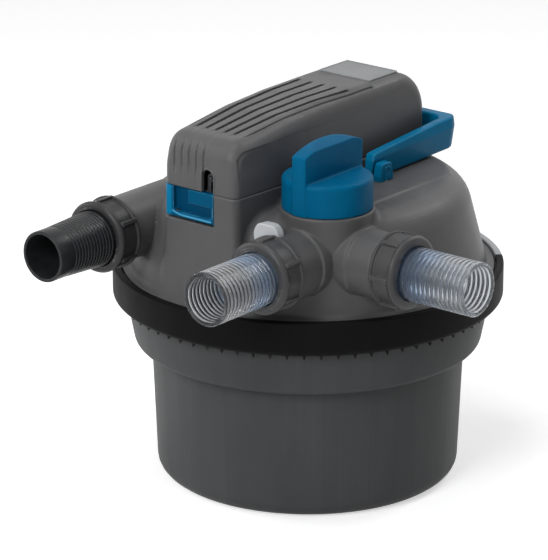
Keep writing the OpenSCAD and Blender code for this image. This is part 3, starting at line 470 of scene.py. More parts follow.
# axis and start of the rings in metres; crests, cloudy tone, gaps painted darker as shade, and the bluish
# end; clearness
for name, *values in (
        ("clearTailFront", (0, -1, 0), 0.1419, (254, 254, 255), (246, 248, 250), (52, 54, 58),
         (150, 184, 222), 0.82),
        # the side tail is a greyer copy of the same clear plastic, painted darker as the shade of the dome
        # seen through it
        ("clearTailSide", (1, 0, 0), 0.1444, (236, 239, 242), (222, 226, 230), (168, 172, 178),
         (136, 176, 222), 0.93)):
    finishes[name] = hoseFinish(name, *values)
finishes["quartzClear"] = quartzFinish("quartzClear", (246, 249, 251), (238, 244, 248))
finishes["foamBlue"] = foamFinish("foamBlue", (58, 108, 168), (22, 52, 96))
finishes["foamRed"] = foamFinish("foamRed", (168, 62, 58), (92, 26, 24))
print("finishes made:", len(finishes))


# mesh tools
def roundUnion(a, b, r):
    # a joined to b with a fillet of radius r
    return np.maximum(r, np.minimum(a, b)) - np.hypot(np.maximum(r - a, 0), np.maximum(r - b, 0))


def roundMeet(a, b, r):
    # what a and b share, its edge rounded by r
    return np.minimum(-r, np.maximum(a, b)) + np.hypot(np.maximum(r + a, 0), np.maximum(r + b, 0))


def roundCut(a, b, r):
    return roundMeet(a, -b, r)


def cut(a, b):
    return np.maximum(a, -b)


def slab(v, low, high):
    return np.maximum(low - v, v - high)


def plate(x, y, halfWide, front, back, corner):
    # rounded rectangle seen from above
    u = np.abs(x) - halfWide + corner
    v = np.abs(y - (front + back) / 2) - (back - front) / 2 + corner
    return np.hypot(np.maximum(u, 0), np.maximum(v, 0)) + np.minimum(np.maximum(u, v), 0) - corner


def brick(x, y, z, low, high, r=0.5):
    sides = [np.abs(v - (a + b) / 2) - (b - a) / 2 + r for v, a, b in zip((x, y, z), low, high)]
    out = np.sqrt(sum(np.maximum(s, 0) ** 2 for s in sides))
    return out + np.minimum(np.maximum(np.maximum(sides[0], sides[1]), sides[2]), 0) - r


def soften(corners, steps=6):
    # corners are (a, b) or (a, b, radius); a radius turns the corner into an arc
    path, count = [], len(corners)
    for k, corner in enumerate(corners):
        here = Vector(corner[:2])
        radius = corner[2] if len(corner) > 2 else 0
        before, after = Vector(corners[k - 1][:2]) - here, Vector(corners[(k + 1) % count][:2]) - here
        if radius <= 0 or before.length < 1e-6 or after.length < 1e-6:
            path.append(tuple(here))
            continue
        half = before.angle(after) / 2
        if half > math.radians(89.5):
            path.append(tuple(here))
            continue
        run = min(radius / math.tan(half), 0.49 * before.length, 0.49 * after.length)
        radius = run * math.tan(half)
        middle = here + (before.normalized() + after.normalized()).normalized() * radius / math.sin(half)
        start, end = here + before.normalized() * run, here + after.normalized() * run
        for i in range(steps + 1):
            spoke = (start - middle).slerp(end - middle, i / steps)  # unit length
            path.append(tuple(middle + spoke * radius))
    return path


def outlineField(points, step=0.5):
    # signed distance to a flat outline, looked up from a table
    pts, margin = np.array(points, float), 12.0
    low = pts.min(0) - margin
    size = np.ceil((pts.max(0) + margin - low) / step).astype(int) + 1
    gridA, gridB = np.meshgrid(low[0] + step * np.arange(size[0]), low[1] + step * np.arange(size[1]),
                               indexing="ij")
    best, inside = np.full(gridA.shape, 1e18), np.zeros(gridA.shape, bool)
    for p, q in zip(pts, np.roll(pts, -1, 0)):
        e = q - p
        t = np.clip(((gridA - p[0]) * e[0] + (gridB - p[1]) * e[1]) / max(e @ e, 1e-12), 0, 1)
        best = np.minimum(best, (gridA - p[0] - t * e[0]) ** 2 + (gridB - p[1] - t * e[1]) ** 2)
        if abs(e[1]) > 1e-12:
            crosses = (p[1] > gridB) != (q[1] > gridB)
            inside ^= crosses & (gridA < e[0] * (gridB - p[1]) / e[1] + p[0])
    table = np.sqrt(best) * np.where(inside, -1.0, 1.0)

    def look(a, b):
        a, b = np.broadcast_arrays(a, b)
        u = np.clip((a - low[0]) / step, 0, size[0] - 1.001)
        v = np.clip((b - low[1]) / step, 0, size[1] - 1.001)
        i, j = u.astype(int), v.astype(int)
        u, v = u - i, v - j
        return ((table[i, j] * (1 - u) + table[i + 1, j] * u) * (1 - v)
                + (table[i, j + 1] * (1 - u) + table[i + 1, j + 1] * u) * v)
    return look


def netPoints(values, inside, low, step):
    # one point in each cell that the surface crosses, and the index of each such cell
    shape = np.array(values.shape) - 1
    corners = np.zeros(shape, np.int8)
    for i in (0, 1):
        for j in (0, 1):
            for k in (0, 1):
                corners += inside[i:i + shape[0], j:j + shape[1], k:k + shape[2]]
    active = (corners > 0) & (corners < 8)
    index = np.full(shape, -1, np.int64)
    cells = np.argwhere(active)
    index[active] = np.arange(len(cells))
    total, hits = np.zeros((len(cells), 3)), np.zeros(len(cells))
    for axis in range(3):
        others = [a for a in range(3) if a != axis]
        for p in (0, 1):
            for q in (0, 1):
                start = np.zeros(3, int)
                start[others[0]], start[others[1]] = p, q
                end = start.copy()
                end[axis] = 1
                a = values[tuple((cells + start).T)]
                b = values[tuple((cells + end).T)]
                crossed = (a < 0) != (b < 0)
                t = np.where(crossed, a / np.where(a == b, 1, a - b), 0)
                point = start + t[:, None] * (end - start)
                total += point * crossed[:, None]
                hits += crossed
    return low + (cells + total / hits[:, None]) * step, index


def netFaces(inside, index):
    quads = []
    for axis, (u, v) in ((0, (1, 2)), (1, (0, 2)), (2, (0, 1))):
        lowEnd = np.take(inside, np.arange(inside.shape[axis] - 1), axis)
        highEnd = np.take(inside, np.arange(1, inside.shape[axis]), axis)
        where = np.argwhere(lowEnd != highEnd)
        keep = np.all([(where[:, a] > 0) & (where[:, a] < inside.shape[a] - 1) for a in (u, v)], 0)
        where = where[keep]
        corners = []
        order = ((1, 1), (0, 1), (0, 0), (1, 0)) if axis != 1 else ((1, 1), (1, 0), (0, 0), (0, 1))
        for p, q in order:
            at = where.copy()
            at[:, u] -= p
            at[:, v] -= q
            corners.append(index[tuple(at.T)])
        faces = np.stack(corners, 1)
        flip = ~lowEnd[tuple(where.T)]
        faces[flip] = faces[flip][:, ::-1]
        quads.append(faces)
    return np.concatenate(quads)


def meshFromField(name, field, low, high, step):
    # skins the zero level of a distance field, then draws each point onto it
    low, high, step = (np.array(v, float) * np.ones(3) for v in (low, high, step))
    count = np.ceil((high - low) / step).astype(int) + 1
    x, y, z = (low[a] + step[a] * np.arange(count[a]) for a in range(3))
    values = np.array(np.broadcast_to(field(x[:, None, None], y[None, :, None], z[None, None, :]), count))
    inside = values < 0
    points, index = netPoints(values, inside, low, step)
    rest, h = points.copy(), 0.06  # h is the reach of the slope, in millimetres
    for _ in range(4):
        value = field(*points.T)
        slope = np.stack([(field(*(points + h * np.eye(3)[a]).T) - value) / h for a in range(3)], 1)
        size = np.maximum((slope ** 2).sum(1), 0.2)
        move = np.clip(-(value / size)[:, None] * slope, -0.5 * step, 0.5 * step)
        points = np.clip(points + move, rest - 0.75 * step, rest + 0.75 * step)
    faces = netFaces(inside, index)
    mesh = bpy.data.meshes.new(name)
    mesh.vertices.add(len(points))
    mesh.vertices.foreach_set("co", (points * mm).astype(np.float32).ravel())
    mesh.loops.add(faces.size)
    mesh.loops.foreach_set("vertex_index", faces.astype(np.int32).ravel())
    mesh.polygons.add(len(faces))
    mesh.polygons.foreach_set("loop_start", np.arange(0, faces.size, 4, dtype=np.int32))
    mesh.update(calc_edges=True)
    mesh.validate()
    return mesh


def lathe(name, path, parts, turn=(0.0, 360.0)):
    # turns a closed (radius, height) outline about Z, between two directions in degrees
    form = bmesh.new()
    full = turn[1] - turn[0] == 360
    steps = parts if full else parts + 1
    rings = []
    for i in range(steps):
        a = math.radians(turn[0] + (turn[1] - turn[0]) * i / parts)
        rings.append([form.verts.new((r * math.cos(a) * mm, r * math.sin(a) * mm, z * mm))
                      for r, z in path])
    count = len(path)
    for i in range(parts):
        one, two = rings[i], rings[(i + 1) % steps]
        for k in range(count):
            form.faces.new((one[k], two[k], two[(k + 1) % count], one[(k + 1) % count]))
    if not full:
        form.faces.new(rings[0])
        form.faces.new(rings[-1][::-1])
    bmesh.ops.remove_doubles(form, verts=form.verts, dist=1e-7)
    bmesh.ops.dissolve_degenerate(form, edges=form.edges, dist=1e-8)
    bmesh.ops.recalc_face_normals(form, faces=form.faces)
    mesh = bpy.data.meshes.new(name)
    form.to_mesh(mesh)
    form.free()
    return mesh


def joinMeshes(name, meshes):
    form = bmesh.new()
    for mesh in meshes:
        form.from_mesh(mesh)
        bpy.data.meshes.remove(mesh)
    joined = bpy.data.meshes.new(name)
    form.to_mesh(joined)
    form.free()
    return joined


def placePiece(name, mesh, body, finish, nodes, sharp=35.0, matrix=None):
    if matrix is not None:
        mesh.transform(matrix)
    mesh.shade_smooth()
    mesh.set_sharp_from_angle(angle=math.radians(sharp))
    mesh.materials.clear()
    mesh.materials.append(finishes[finish])
    piece = bpy.data.objects.new(name, mesh)
    bpy.context.scene.collection.objects.link(piece)
    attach(piece, body)
    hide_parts(*nodes)
    print(name, "made with", len(mesh.polygons), "faces")
    return piece


def fieldPiece(name, field, low, high, step, body, finish, nodes, sharp, matrix=None):
    mesh = meshFromField(name, field, low, high, step)
    return placePiece(name, mesh, body, finish, nodes, sharp, matrix)


def portMatrix(x, y, z, side):
    # turns a shape from its own +Z to a port that looks to the front or to the right
    turn = Matrix.Rotation(math.radians(90), 4, "X" if side == "front" else "Y")
    return Matrix.Translation((x * mm, y * mm, z * mm)) @ turn


# bucket and clamp ring
bucketShape = {"footRadius": 110.8, "footFillet": 11, "wallRadius": 114.4, "wallTop": 98.7,
               "collarRadius": 126.3, "collarTopRadius": 133, "ringZ": 134.5, "flangeRadius": 139.2,
               "flangeLow": 138.8, "flangeHigh": 145.6, "wall": 3, "floor": 4}


def makeBucket(s):
    outer = [(0, 1.2), (84, 1.2, 1), (86, 0, 1), (s["footRadius"] - 0.2, 0, s["footFillet"]),
             (s["wallRadius"], s["wallTop"], 1.0), (s["wallRadius"] + 1.2, s["wallTop"] + 1, 1.5),
             (s["collarRadius"], s["wallTop"] + 1, 6), (s["collarTopRadius"], s["ringZ"], 0.5),
             (s["collarTopRadius"], s["flangeLow"], 0.6), (s["flangeRadius"], s["flangeLow"], 0.6),
             (s["flangeRadius"], s["flangeHigh"], 0.8)]
    wall = s["wall"]
    inner = [(s["collarTopRadius"] - wall, s["flangeHigh"], 0.8),
             (s["collarTopRadius"] - wall, s["ringZ"] + wall, 2),
             (s["collarRadius"] - wall, s["wallTop"] + 1 + wall, 4),
             (s["wallRadius"] - wall, s["wallTop"] + 3, 2),
             (s["footRadius"] - wall, s["floor"], s["footFillet"] - wall), (0, s["floor"])]
    return lathe("bucketShell", soften(outer + inner), 288)


placePiece("bucketShell", makeBucket(bucketShape), "tank", "bucketGrey", ["bucket"])

ringShape = {"radius": 142.5, "low": 134.5, "high": 159.7, "lip": 4, "lipRadius": 137,
             "insideRadius": 139.6, "lowerLipRadius": 133.4, "lowerEdge": 4.0, "upperEdge": 1.6,
             "start": 68.5, "end": 402.0}
toothShape = {"first": 72.5, "last": 400.0, "pitch": 5, "drop": 3.9, "innerDrop": 2.145, "wide": 1.8,
              "tip": 0.35, "inner": 133.6, "outer": 136.9, "root": 134.9}


def ringPath(s):
    return soften([(s["lowerLipRadius"], s["low"], 0.5), (s["radius"], s["low"], s["lowerEdge"]),
                   (s["radius"], s["high"], s["upperEdge"]), (s["lipRadius"], s["high"], 1.0),
                   (s["lipRadius"], s["high"] - s["lip"], 0.4),
                   (s["insideRadius"], s["high"] - s["lip"]), (s["insideRadius"], s["low"] + s["lip"]),
                   (s["lowerLipRadius"], s["low"] + s["lip"], 0.4)])


def makeTeeth(s):
    form = bmesh.new()
    angle = s["first"]
    while angle <= s["last"]:
        a = math.radians(angle)
        out, side = Vector((math.cos(a), math.sin(a), 0)), Vector((-math.sin(a), math.cos(a), 0))
        ends, wide, tip, root = [], s["wide"], s["tip"], s["root"]
        for r, drop in ((s["inner"], s["innerDrop"]), (s["outer"], s["drop"])):
            low = ringShape["low"] - drop
            ends.append([form.verts.new((out * r + side * w + Vector((0, 0, z))) * mm)
                         for w, z in ((-wide, root), (-tip, low), (tip, low), (wide, root))])
        form.faces.new(ends[0])
        form.faces.new(ends[1][::-1])
        for k in range(4):
            form.faces.new((ends[0][k], ends[1][k], ends[1][(k + 1) % 4], ends[0][(k + 1) % 4]))
        angle += s["pitch"]
    bmesh.ops.recalc_face_normals(form, faces=form.faces)
    mesh = bpy.data.meshes.new("ringTeeth")
    form.to_mesh(mesh)
    form.free()
    return mesh


leverPin = {"turn": 70.0, "away": 143.1, "knuckle": 3.2, "hole": 1.56,
            "ringGap": (142.9, 151.3), "leverKnuckle": (143.2, 151.0)}


def pinKnuckle(low, high):
    s = leverPin
    a = math.radians(s["turn"])
    mesh = lathe("pinKnuckle", soften([(s["hole"], low), (s["knuckle"], low, 0.4), (s["knuckle"], high, 0.4),
                                       (s["hole"], high)]), 48)
    mesh.transform(Matrix.Translation((s["away"] * math.cos(a) * mm, s["away"] * math.sin(a) * mm, 0)))
    return mesh


clampParts = [lathe("ringBody", ringPath(ringShape), 300, (ringShape["start"], ringShape["end"])),
              makeTeeth(toothShape),
              pinKnuckle(ringShape["low"], leverPin["ringGap"][0]),
              pinKnuckle(leverPin["ringGap"][1], ringShape["high"])]
placePiece("clampRing", joinMeshes("clampRing", clampParts), "tank", "ringBlack", ["clamp_ring"])

leverShape = {"start": 42.2, "end": 67.6, "padStart": 44.0, "padEnd": 60.0, "padInside": 140.0,
              "padOutside": 142.9, "padLow": 140.6, "padHigh": 154.0}


def makeLever(s):
    body = lathe("leverBody", ringPath(ringShape), 40, (s["start"], s["end"]))
    pad = soften([(s["padInside"], s["padLow"] + 0.4, 1), (s["padOutside"], s["padLow"], 1.2),
                  (s["padOutside"], s["padHigh"], 1.2), (s["padInside"], s["padHigh"] - 0.4, 1)])
    pull = lathe("leverPad", pad, 30, (s["padStart"], s["padEnd"]))
    return joinMeshes("ringLever", [body, pull, pinKnuckle(*leverPin["leverKnuckle"])])


placePiece("ringLever", makeLever(leverShape), "lever", "trimGrey", ["ring_lever"])

# lid
head = {"halfWide": 33.0, "front": -122.0, "back": 100.0, "draft": 4.0, "corner": 11.0, "noseCorner": 6.0,
        "partZ": 240.0, "fall": 6.0, "lidZ": 148.2, "wall": 3.0}
valve = {"x": 68.0, "y": -64.0, "radius": 33.5, "low": 162.2, "high": 229.0}
ports = {"z": 195.6, "radius": 23.5, "core": 22.4, "bore": 16.0, "drainEnd": -133.0, "sideEnd": 135.5,
         "inletX": -78.0, "inletEnd": -136.0, "inletRoot": -60.0}
pivot = {"x": 52.8, "y": 20.0, "z": 232.2, "hole": 2.56}  # handle pins, above the two pull rods
latchPin = {"y": -118.9, "z": 220.2, "hole": 1.25}


def partingZ(y):
    return head["partZ"] - head["fall"] * (y - head["front"]) / (head["back"] - head["front"])


def headCorner(y):
    return np.where(y < 0, head["noseCorner"], head["corner"])


domeOuter = outlineField(soften([
    (-30, 148.2), (139.2, 148.2, 0.6), (139.2, 155.4, 1.0), (135.8, 155.4, 0.4), (135.8, 158.6, 1.0),
    (130.1, 159.2, 7), (113.4, 223.7, 23), (-30, 223.7)], 10))
domeInner = outlineField(soften([
    (-30, 140), (125.3, 140), (125.3, 166), (111.05, 220.7, 20), (-30, 220.7)], 10))


def ease(v):
    v = np.clip(v, 0, 1)
    return v * v * (3 - 2 * v)


domeDip = {"deep": 8, "left": 38, "leftRun": 35, "back": 10, "backRun": 45, "low": 160, "lowRun": 34}


def domeHeight(x, y, z):
    # the dome sits up to 8 mm lower beside the inlet branch
    s = domeDip
    beside = ease((-x - s["left"]) / s["leftRun"]) * ease((s["back"] - y) / s["backRun"])
    return z + s["deep"] * beside * ease((z - s["low"]) / s["lowRun"])


lidShape = {"blockLow": 152, "padHalf": 80, "padFront": -60, "padBack": 88, "padCorner": 30, "padLow": 215,
            "padTop": 224.8, "padFall": 1.2, "padFallFrom": 5, "padFallRun": 50, "padReach": 103,
            "nutSeat": 13.3, "collar": 24.8, "ceiling": 220.7, "trayFloor": 226.7, "trayCorner": 8,
            "bossX": 22, "bossFront": -96, "bossBack": 84, "bossRadius": 4, "bossTop": 236.6,
            "sleeveRing": 26, "sleeveRingHalf": 1.2, "sleeveRingTop": 232.7, "sleeveHole": 20.5,
            "sleeveLow": 200, "rotorRoom": 29.5, "rotorLow": 165.2, "rotorHigh": 226, "rotorDrain": 15.6,
            "drainLow": 150, "drainHigh": 170, "stemHole": 7.3, "stemLow": 220,
            "nutRoom": 27.6, "nutBack": 11.9, "nutFront": 9.1, "knobRoom": 33.1,
            "guide": 8, "guideLow": 209.7, "guideHigh": 230, "rodHole": 3.8, "rodLow": 200, "rodSeal": 6,
            "rodSealLow": 203, "rodSealHigh": 215.7, "glandY": -30, "glandZ": 230.7, "glandHole": 4.6,
            "glandLeft": -40, "glandRight": -20}
# opposite corners of the places for the latch
latchRoom = {"backing": ((-35, -122, 214), (17, -112.5, 240)),
             "pocket": ((-50, -130, 216.2), (12.9, -115.1, 250)),
             "ears": ((-24, -120.8, 214), (-20.4, -112.8, 221.6)), "earRound": 1.6}


def lidTubes(x, y, z):
    # for each branch: distance from its axis, place along it, its end and its root
    toDrain = np.hypot(x - valve["x"], z - ports["z"])
    toSide = np.hypot(y - valve["y"], z - ports["z"])
    toInlet = np.hypot(x - ports["inletX"], z - ports["z"])
    return ((toDrain, -y, -ports["drainEnd"], -valve["y"]), (toSide, x, ports["sideEnd"], valve["x"]),
            (toInlet, -y, -ports["inletEnd"], -ports["inletRoot"]))


def lidOutside(x, y, z, halfWide, toValve, tubes):
    s, r = lidShape, np.hypot(x, y)
    body = domeOuter(r, domeHeight(x, y, z))
    pad = plate(x, y, s["padHalf"], s["padFront"], s["padBack"], s["padCorner"])
    fall = s["padFall"] * ease((y - s["padFallFrom"]) / s["padFallRun"])
    pad = roundMeet(pad, slab(z, s["padLow"], s["padTop"] - fall), 0.9)
    body = roundUnion(body, np.maximum(pad, r - s["padReach"]), 1.6)
    block = plate(x, y, halfWide, head["front"], head["back"], headCorner(y))
    block = roundMeet(block, np.maximum(z - partingZ(y), s["blockLow"] - z), 0.9)
    body = roundUnion(body, block, 4.0)
    housing = roundMeet(toValve - valve["radius"], slab(z, valve["low"], valve["high"]), 1.2)
    body = roundUnion(body, housing, 4.0)
    for away, along, end, root in tubes:
        neck = roundMeet(away - ports["radius"], slab(along, root, end - s["nutSeat"]), 0.6)
        neck = np.minimum(neck, roundMeet(away - ports["core"], slab(along, root, end), 0.8))
        body = roundUnion(body, neck, 1.0)
    for away, along, end, root in tubes[:2]:
        collar = roundMeet(away - s["collar"], slab(along, root, root + valve["radius"] + 0.6), 0.6)
        body = roundUnion(body, collar, 0.5)
    return body


def lidHollows(body, x, y, z, halfWide, toValve, tubes, toRod):
    s, r = lidShape, np.hypot(x, y)
    wall, front, back = head["wall"], head["front"] + head["wall"], head["back"] - head["wall"]
    backing = brick(x, y, z, *latchRoom["backing"])
    guides = np.maximum(toRod - s["guide"], slab(z, s["guideLow"], s["guideHigh"]))
    away, along, end, root = tubes[2]
    inletTube = np.maximum(away - ports["radius"], slab(along, root, end))
    keep = np.minimum(np.minimum(np.maximum(toValve - valve["radius"], valve["low"] - z), inletTube),
                      np.minimum(guides, backing))
    body = cut(body, np.maximum(domeInner(r, domeHeight(x, y, z)), -keep))
    chamber = np.maximum(plate(x, y, halfWide - wall, front, back, s["trayCorner"]), z - s["ceiling"])
    body = cut(body, np.maximum(chamber, -np.minimum(backing, toValve - valve["radius"])))
    # seat of the lamp tray, with its screw bosses and the ring round the sleeve
    tray = np.maximum(plate(x, y, head["halfWide"] - wall, front, back, s["trayCorner"]), s["trayFloor"] - z)
    bossX = np.abs(x) - s["bossX"]
    bosses = np.minimum(np.hypot(bossX, y - s["bossFront"]), np.hypot(bossX, y - s["bossBack"]))
    bosses = np.maximum(bosses - s["bossRadius"], z - s["bossTop"])
    sleeveRing = np.maximum(np.abs(r - s["sleeveRing"]) - s["sleeveRingHalf"], z - s["sleeveRingTop"])
    tray = cut(tray, np.minimum(np.minimum(bosses, sleeveRing), backing))
    body = roundCut(body, tray, 0.5)
    # room for the rotor, its outlet below and its stem above
    body = cut(body, np.maximum(toValve - s["rotorRoom"], slab(z, s["rotorLow"], s["rotorHigh"])))
    body = cut(body, np.maximum(toValve - s["rotorDrain"], slab(z, s["drainLow"], s["drainHigh"])))
    return np.maximum(body, s["stemHole"] - toValve - 100 * (z < s["stemLow"]))


def lidField(x, y, z):
    s = lidShape
    halfWide = head["halfWide"] + head["draft"] * (head["partZ"] - z) / (head["partZ"] - head["lidZ"])
    toValve = np.hypot(x - valve["x"], y - valve["y"])
    toRod = np.hypot(np.abs(x) - pivot["x"], y - pivot["y"])
    tubes = lidTubes(x, y, z)
    body = lidOutside(x, y, z, halfWide, toValve, tubes)
    body = lidHollows(body, x, y, z, halfWide, toValve, tubes, toRod)
    for away, along, end, root in tubes:
        body = roundCut(body, np.maximum(away - ports["bore"], slab(along, root - 1, end + 5)), 0.6)
        relief = np.maximum(np.maximum(ports["radius"] - away, away - s["nutRoom"]),
                            slab(along, end - s["nutBack"], end + s["nutFront"]))
        body = cut(body, relief)
    body = roundCut(body, np.maximum(toValve - s["knobRoom"], valve["high"] - z), 0.3)
    body = np.maximum(body, s["sleeveHole"] - np.hypot(x, y) - 100 * (z < s["sleeveLow"]))
    body = roundCut(body, np.maximum(toRod - s["rodHole"], s["rodLow"] - z), 0.3)
    body = cut(body, np.maximum(toRod - s["rodSeal"], slab(z, s["rodSealLow"], s["rodSealHigh"])))
    ears = brick(x, y, z, *latchRoom["ears"], 0.4)
    # in front of the pin the ears are round, so that the latch's foot passes them
    toPin = np.hypot(y - latchPin["y"], z - latchPin["z"])
    ears = np.maximum(ears, np.minimum(latchPin["y"] - y, toPin - latchRoom["earRound"]))
    body = roundCut(body, np.maximum(brick(x, y, z, *latchRoom["pocket"], 0.4), -ears), 0.4)
    gland = np.hypot(y - s["glandY"], z - s["glandZ"]) - s["glandHole"]
    return cut(body, np.maximum(gland, slab(x, s["glandLeft"], s["glandRight"])))


fieldPiece("filterLid", lidField, (-142, -142, 146), (142, 142, 242), 1.1,
           "tank", "headGrey", ["lid"], 50)

# cap with its plate
capShape = {"cornerLow": 252.0, "cornerRise": 20.0, "innerCorner": 8.0, "partGap": 0.2,
            "laneFront": 8.4, "laneRear": 11.0, "lanes": 2, "driftFront": -2.0, "driftRear": 2.0,
            "laneStart": -101.0, "laneLength": 113.0, "fadeLength": 14.0,
            "grooveHalf": 1.5, "grooveDeep": 2.5, "grooveFront": -106.0, "grooveRear": 14.0,
            "borderHalf": 0.7, "borderDeep": 1.2, "borderFront": 24.6, "borderRear": 28.6,
            "borderBack": 38.0, "borderLow": 262.0,
            "noseX": -3.0, "noseLane": 6.6, "noseHalf": 0.9, "noseDeep": 1.0, "noseBack": -102.0,
            "noseLow": 246.0, "noseTop": 276.0, "noseTopFade": 7.0,
            "slotX": 7.4, "slotHalf": 5.2, "slotTop": 257.0, "slotBack": -114.0, "beadOut": 0.7,
            "beadHalf": 0.8, "beadBack": -117.0,
            "panelFront": -117.4, "panelTop": 272.4, "panelCorner": 9.0, "panelDeep": 1.5, "panelHalf": 18.0,
            "panelLow": 246.0, "panelLowFade": 18.0, "panelFadeFrom": -104.0, "panelFadeLength": 26.0}
plateShape = {"halfWide": 23.5, "front": 41.0, "back": 75.0, "low": 286.8, "high": 288.9, "corner": 1.6,
              "rim": 1.5, "rimCorner": 1.2, "sunk": 0.4, "seat": 286.6, "gap": 0.1}
capSide = outlineField(soften([(-122.3, 205), (-121, 277.1, 14.5), (-59.8, 284.9, 60), (-19.9, 287.3, 80),
                               (29, 288, 90), (100, 288, 32), (100, 205)], 12), 0.4)


def sunkBelow(outer, deep):
    # negative down to deep under the outer skin, and just off the skin where deep is 0
    return -(outer + deep - 0.02)


def capGrooves(body, outer, x, y, z):
    s = capShape
    along = np.clip((y - s["laneStart"]) / s["laneLength"], 0, 1)
    lane = s["laneFront"] + (s["laneRear"] - s["laneFront"]) * along
    across = x - s["driftFront"] - (s["driftRear"] - s["driftFront"]) * along
    which = np.clip(np.round(across / lane), -s["lanes"], s["lanes"])
    groove = np.hypot(across - which * lane, np.maximum(y - s["grooveRear"], 0)) - s["grooveHalf"]
    run = ease((y - s["grooveFront"]) / s["fadeLength"])  # the grooves start shallow at the front
    groove = np.maximum(groove, sunkBelow(outer, s["grooveDeep"] * run))
    body = roundCut(body, np.maximum(groove, s["grooveFront"] - y), 0.25)
    edge = s["borderFront"] + (s["borderRear"] - s["borderFront"]) * along
    border = np.abs(np.abs(x) - edge) - s["borderHalf"]
    border = np.maximum(border, sunkBelow(outer, s["borderDeep"] * run))
    border = np.maximum(border, slab(y, s["grooveFront"], s["borderBack"]))
    body = roundCut(body, np.maximum(border, s["borderLow"] - z), 0.25)
    nose = np.clip(np.round((x - s["noseX"]) / s["noseLane"]), -3, 1) * s["noseLane"] + s["noseX"]
    fade = ease((z - s["noseLow"]) / s["fadeLength"]) * ease((s["noseTop"] - z) / s["noseTopFade"])
    noseLine = np.maximum(np.abs(x - nose) - s["noseHalf"], sunkBelow(outer, s["noseDeep"] * fade))
    return roundCut(body, np.maximum(noseLine, y - s["noseBack"]), 0.3)


def capField(x, y, z):
    s, t = capShape, plateShape
    rise = (head["corner"] - head["noseCorner"]) * ease((z - s["cornerLow"]) / s["cornerRise"])
    corner = np.where(y < 0, head["noseCorner"] + rise, head["corner"])
    outer = roundMeet(capSide(y, z), np.abs(x) - head["halfWide"], corner)
    inner = roundMeet(capSide(y, z) + head["wall"], np.abs(x) - head["halfWide"] + head["wall"],
                      s["innerCorner"])
    slot = np.hypot(x - s["slotX"], np.maximum(z - s["slotTop"] + s["slotHalf"], 0)) - s["slotHalf"]
    bead = np.maximum(np.abs(slot - s["beadOut"]) - s["beadHalf"], outer - 0.5)
    body = roundUnion(outer, np.maximum(bead, y - s["beadBack"]), 0.4)
    body = cut(body, inner)
    body = roundMeet(body, partingZ(y) + s["partGap"] - z, 0.6)
    body = capGrooves(body, outer, x, y, z)
    # shallow panels on both shoulders of the nose
    panel = roundMeet(s["panelFront"] - y, z - s["panelTop"], s["panelCorner"])
    fade = (ease((z - s["panelLow"]) / s["panelLowFade"])
            * ease((s["panelFadeFrom"] + s["panelFadeLength"] - y) / s["panelFadeLength"]))
    panel = np.maximum(np.maximum(panel, s["panelHalf"] - np.abs(x)), -(outer + s["panelDeep"] * fade - 0.1))
    body = roundCut(body, panel, 0.5)
    body = roundCut(body, np.maximum(slot, y - s["slotBack"]), 0.4)
    half = t["halfWide"] + t["gap"]
    seat = brick(x, y, z, (-half, t["front"] - t["gap"], t["seat"]), (half, t["back"] + t["gap"], 300), 0.3)
    return roundCut(body, seat, 0.4)


fieldPiece("uvCap", capField, (-35, -125, 231), (35, 102, 290),
           ((0.42, 1.2, 0.55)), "cap", "capGrey", ["uv_cap"], 50)


def plateField(x, y, z):
    s = plateShape
    body = plate(x, y, s["halfWide"], s["front"], s["back"], s["corner"])
    body = roundMeet(body, slab(z, s["low"], s["high"]), 0.5)
    face = plate(x, y, s["halfWide"] - s["rim"], s["front"] + s["rim"], s["back"] - s["rim"], s["rimCorner"])
    return roundCut(body, roundMeet(face, s["high"] - s["sunk"] - z, 0.3), 0.25)


fieldPiece("barePlate", plateField, (-24.5, 40, 286), (24.5, 76, 290), (0.6, 0.6, 0.3),
           "cap", "plateGrey", ["label_plate"], 60)

# latch and hook
latchShape = {"low": 217.4, "high": 239.6, "right": 12.6, "back": -116.9, "outside": 33.3,
              "knuckle": 2.7, "knuckleLeft": -29.4,
              "windowLeft": -23.6, "windowRight": 11.4, "windowLow": 221.7, "windowHigh": 242.0,
              "windowFloor": -118.5, "windowCorner": 3.0, "tabLeft": -10.2, "tabLow": 229.6,
              "tabFront": -121.8, "tabBack": -117.0, "lipSize": 1.0, "lipY": -121.8, "lipZ": 219.7,
              "curlStart": -14.0, "curl": 0.042, "footRadius": 3.35,
              "earRoom": ((-24.4, -121, 214), (-20.0, -110, 222.0))}


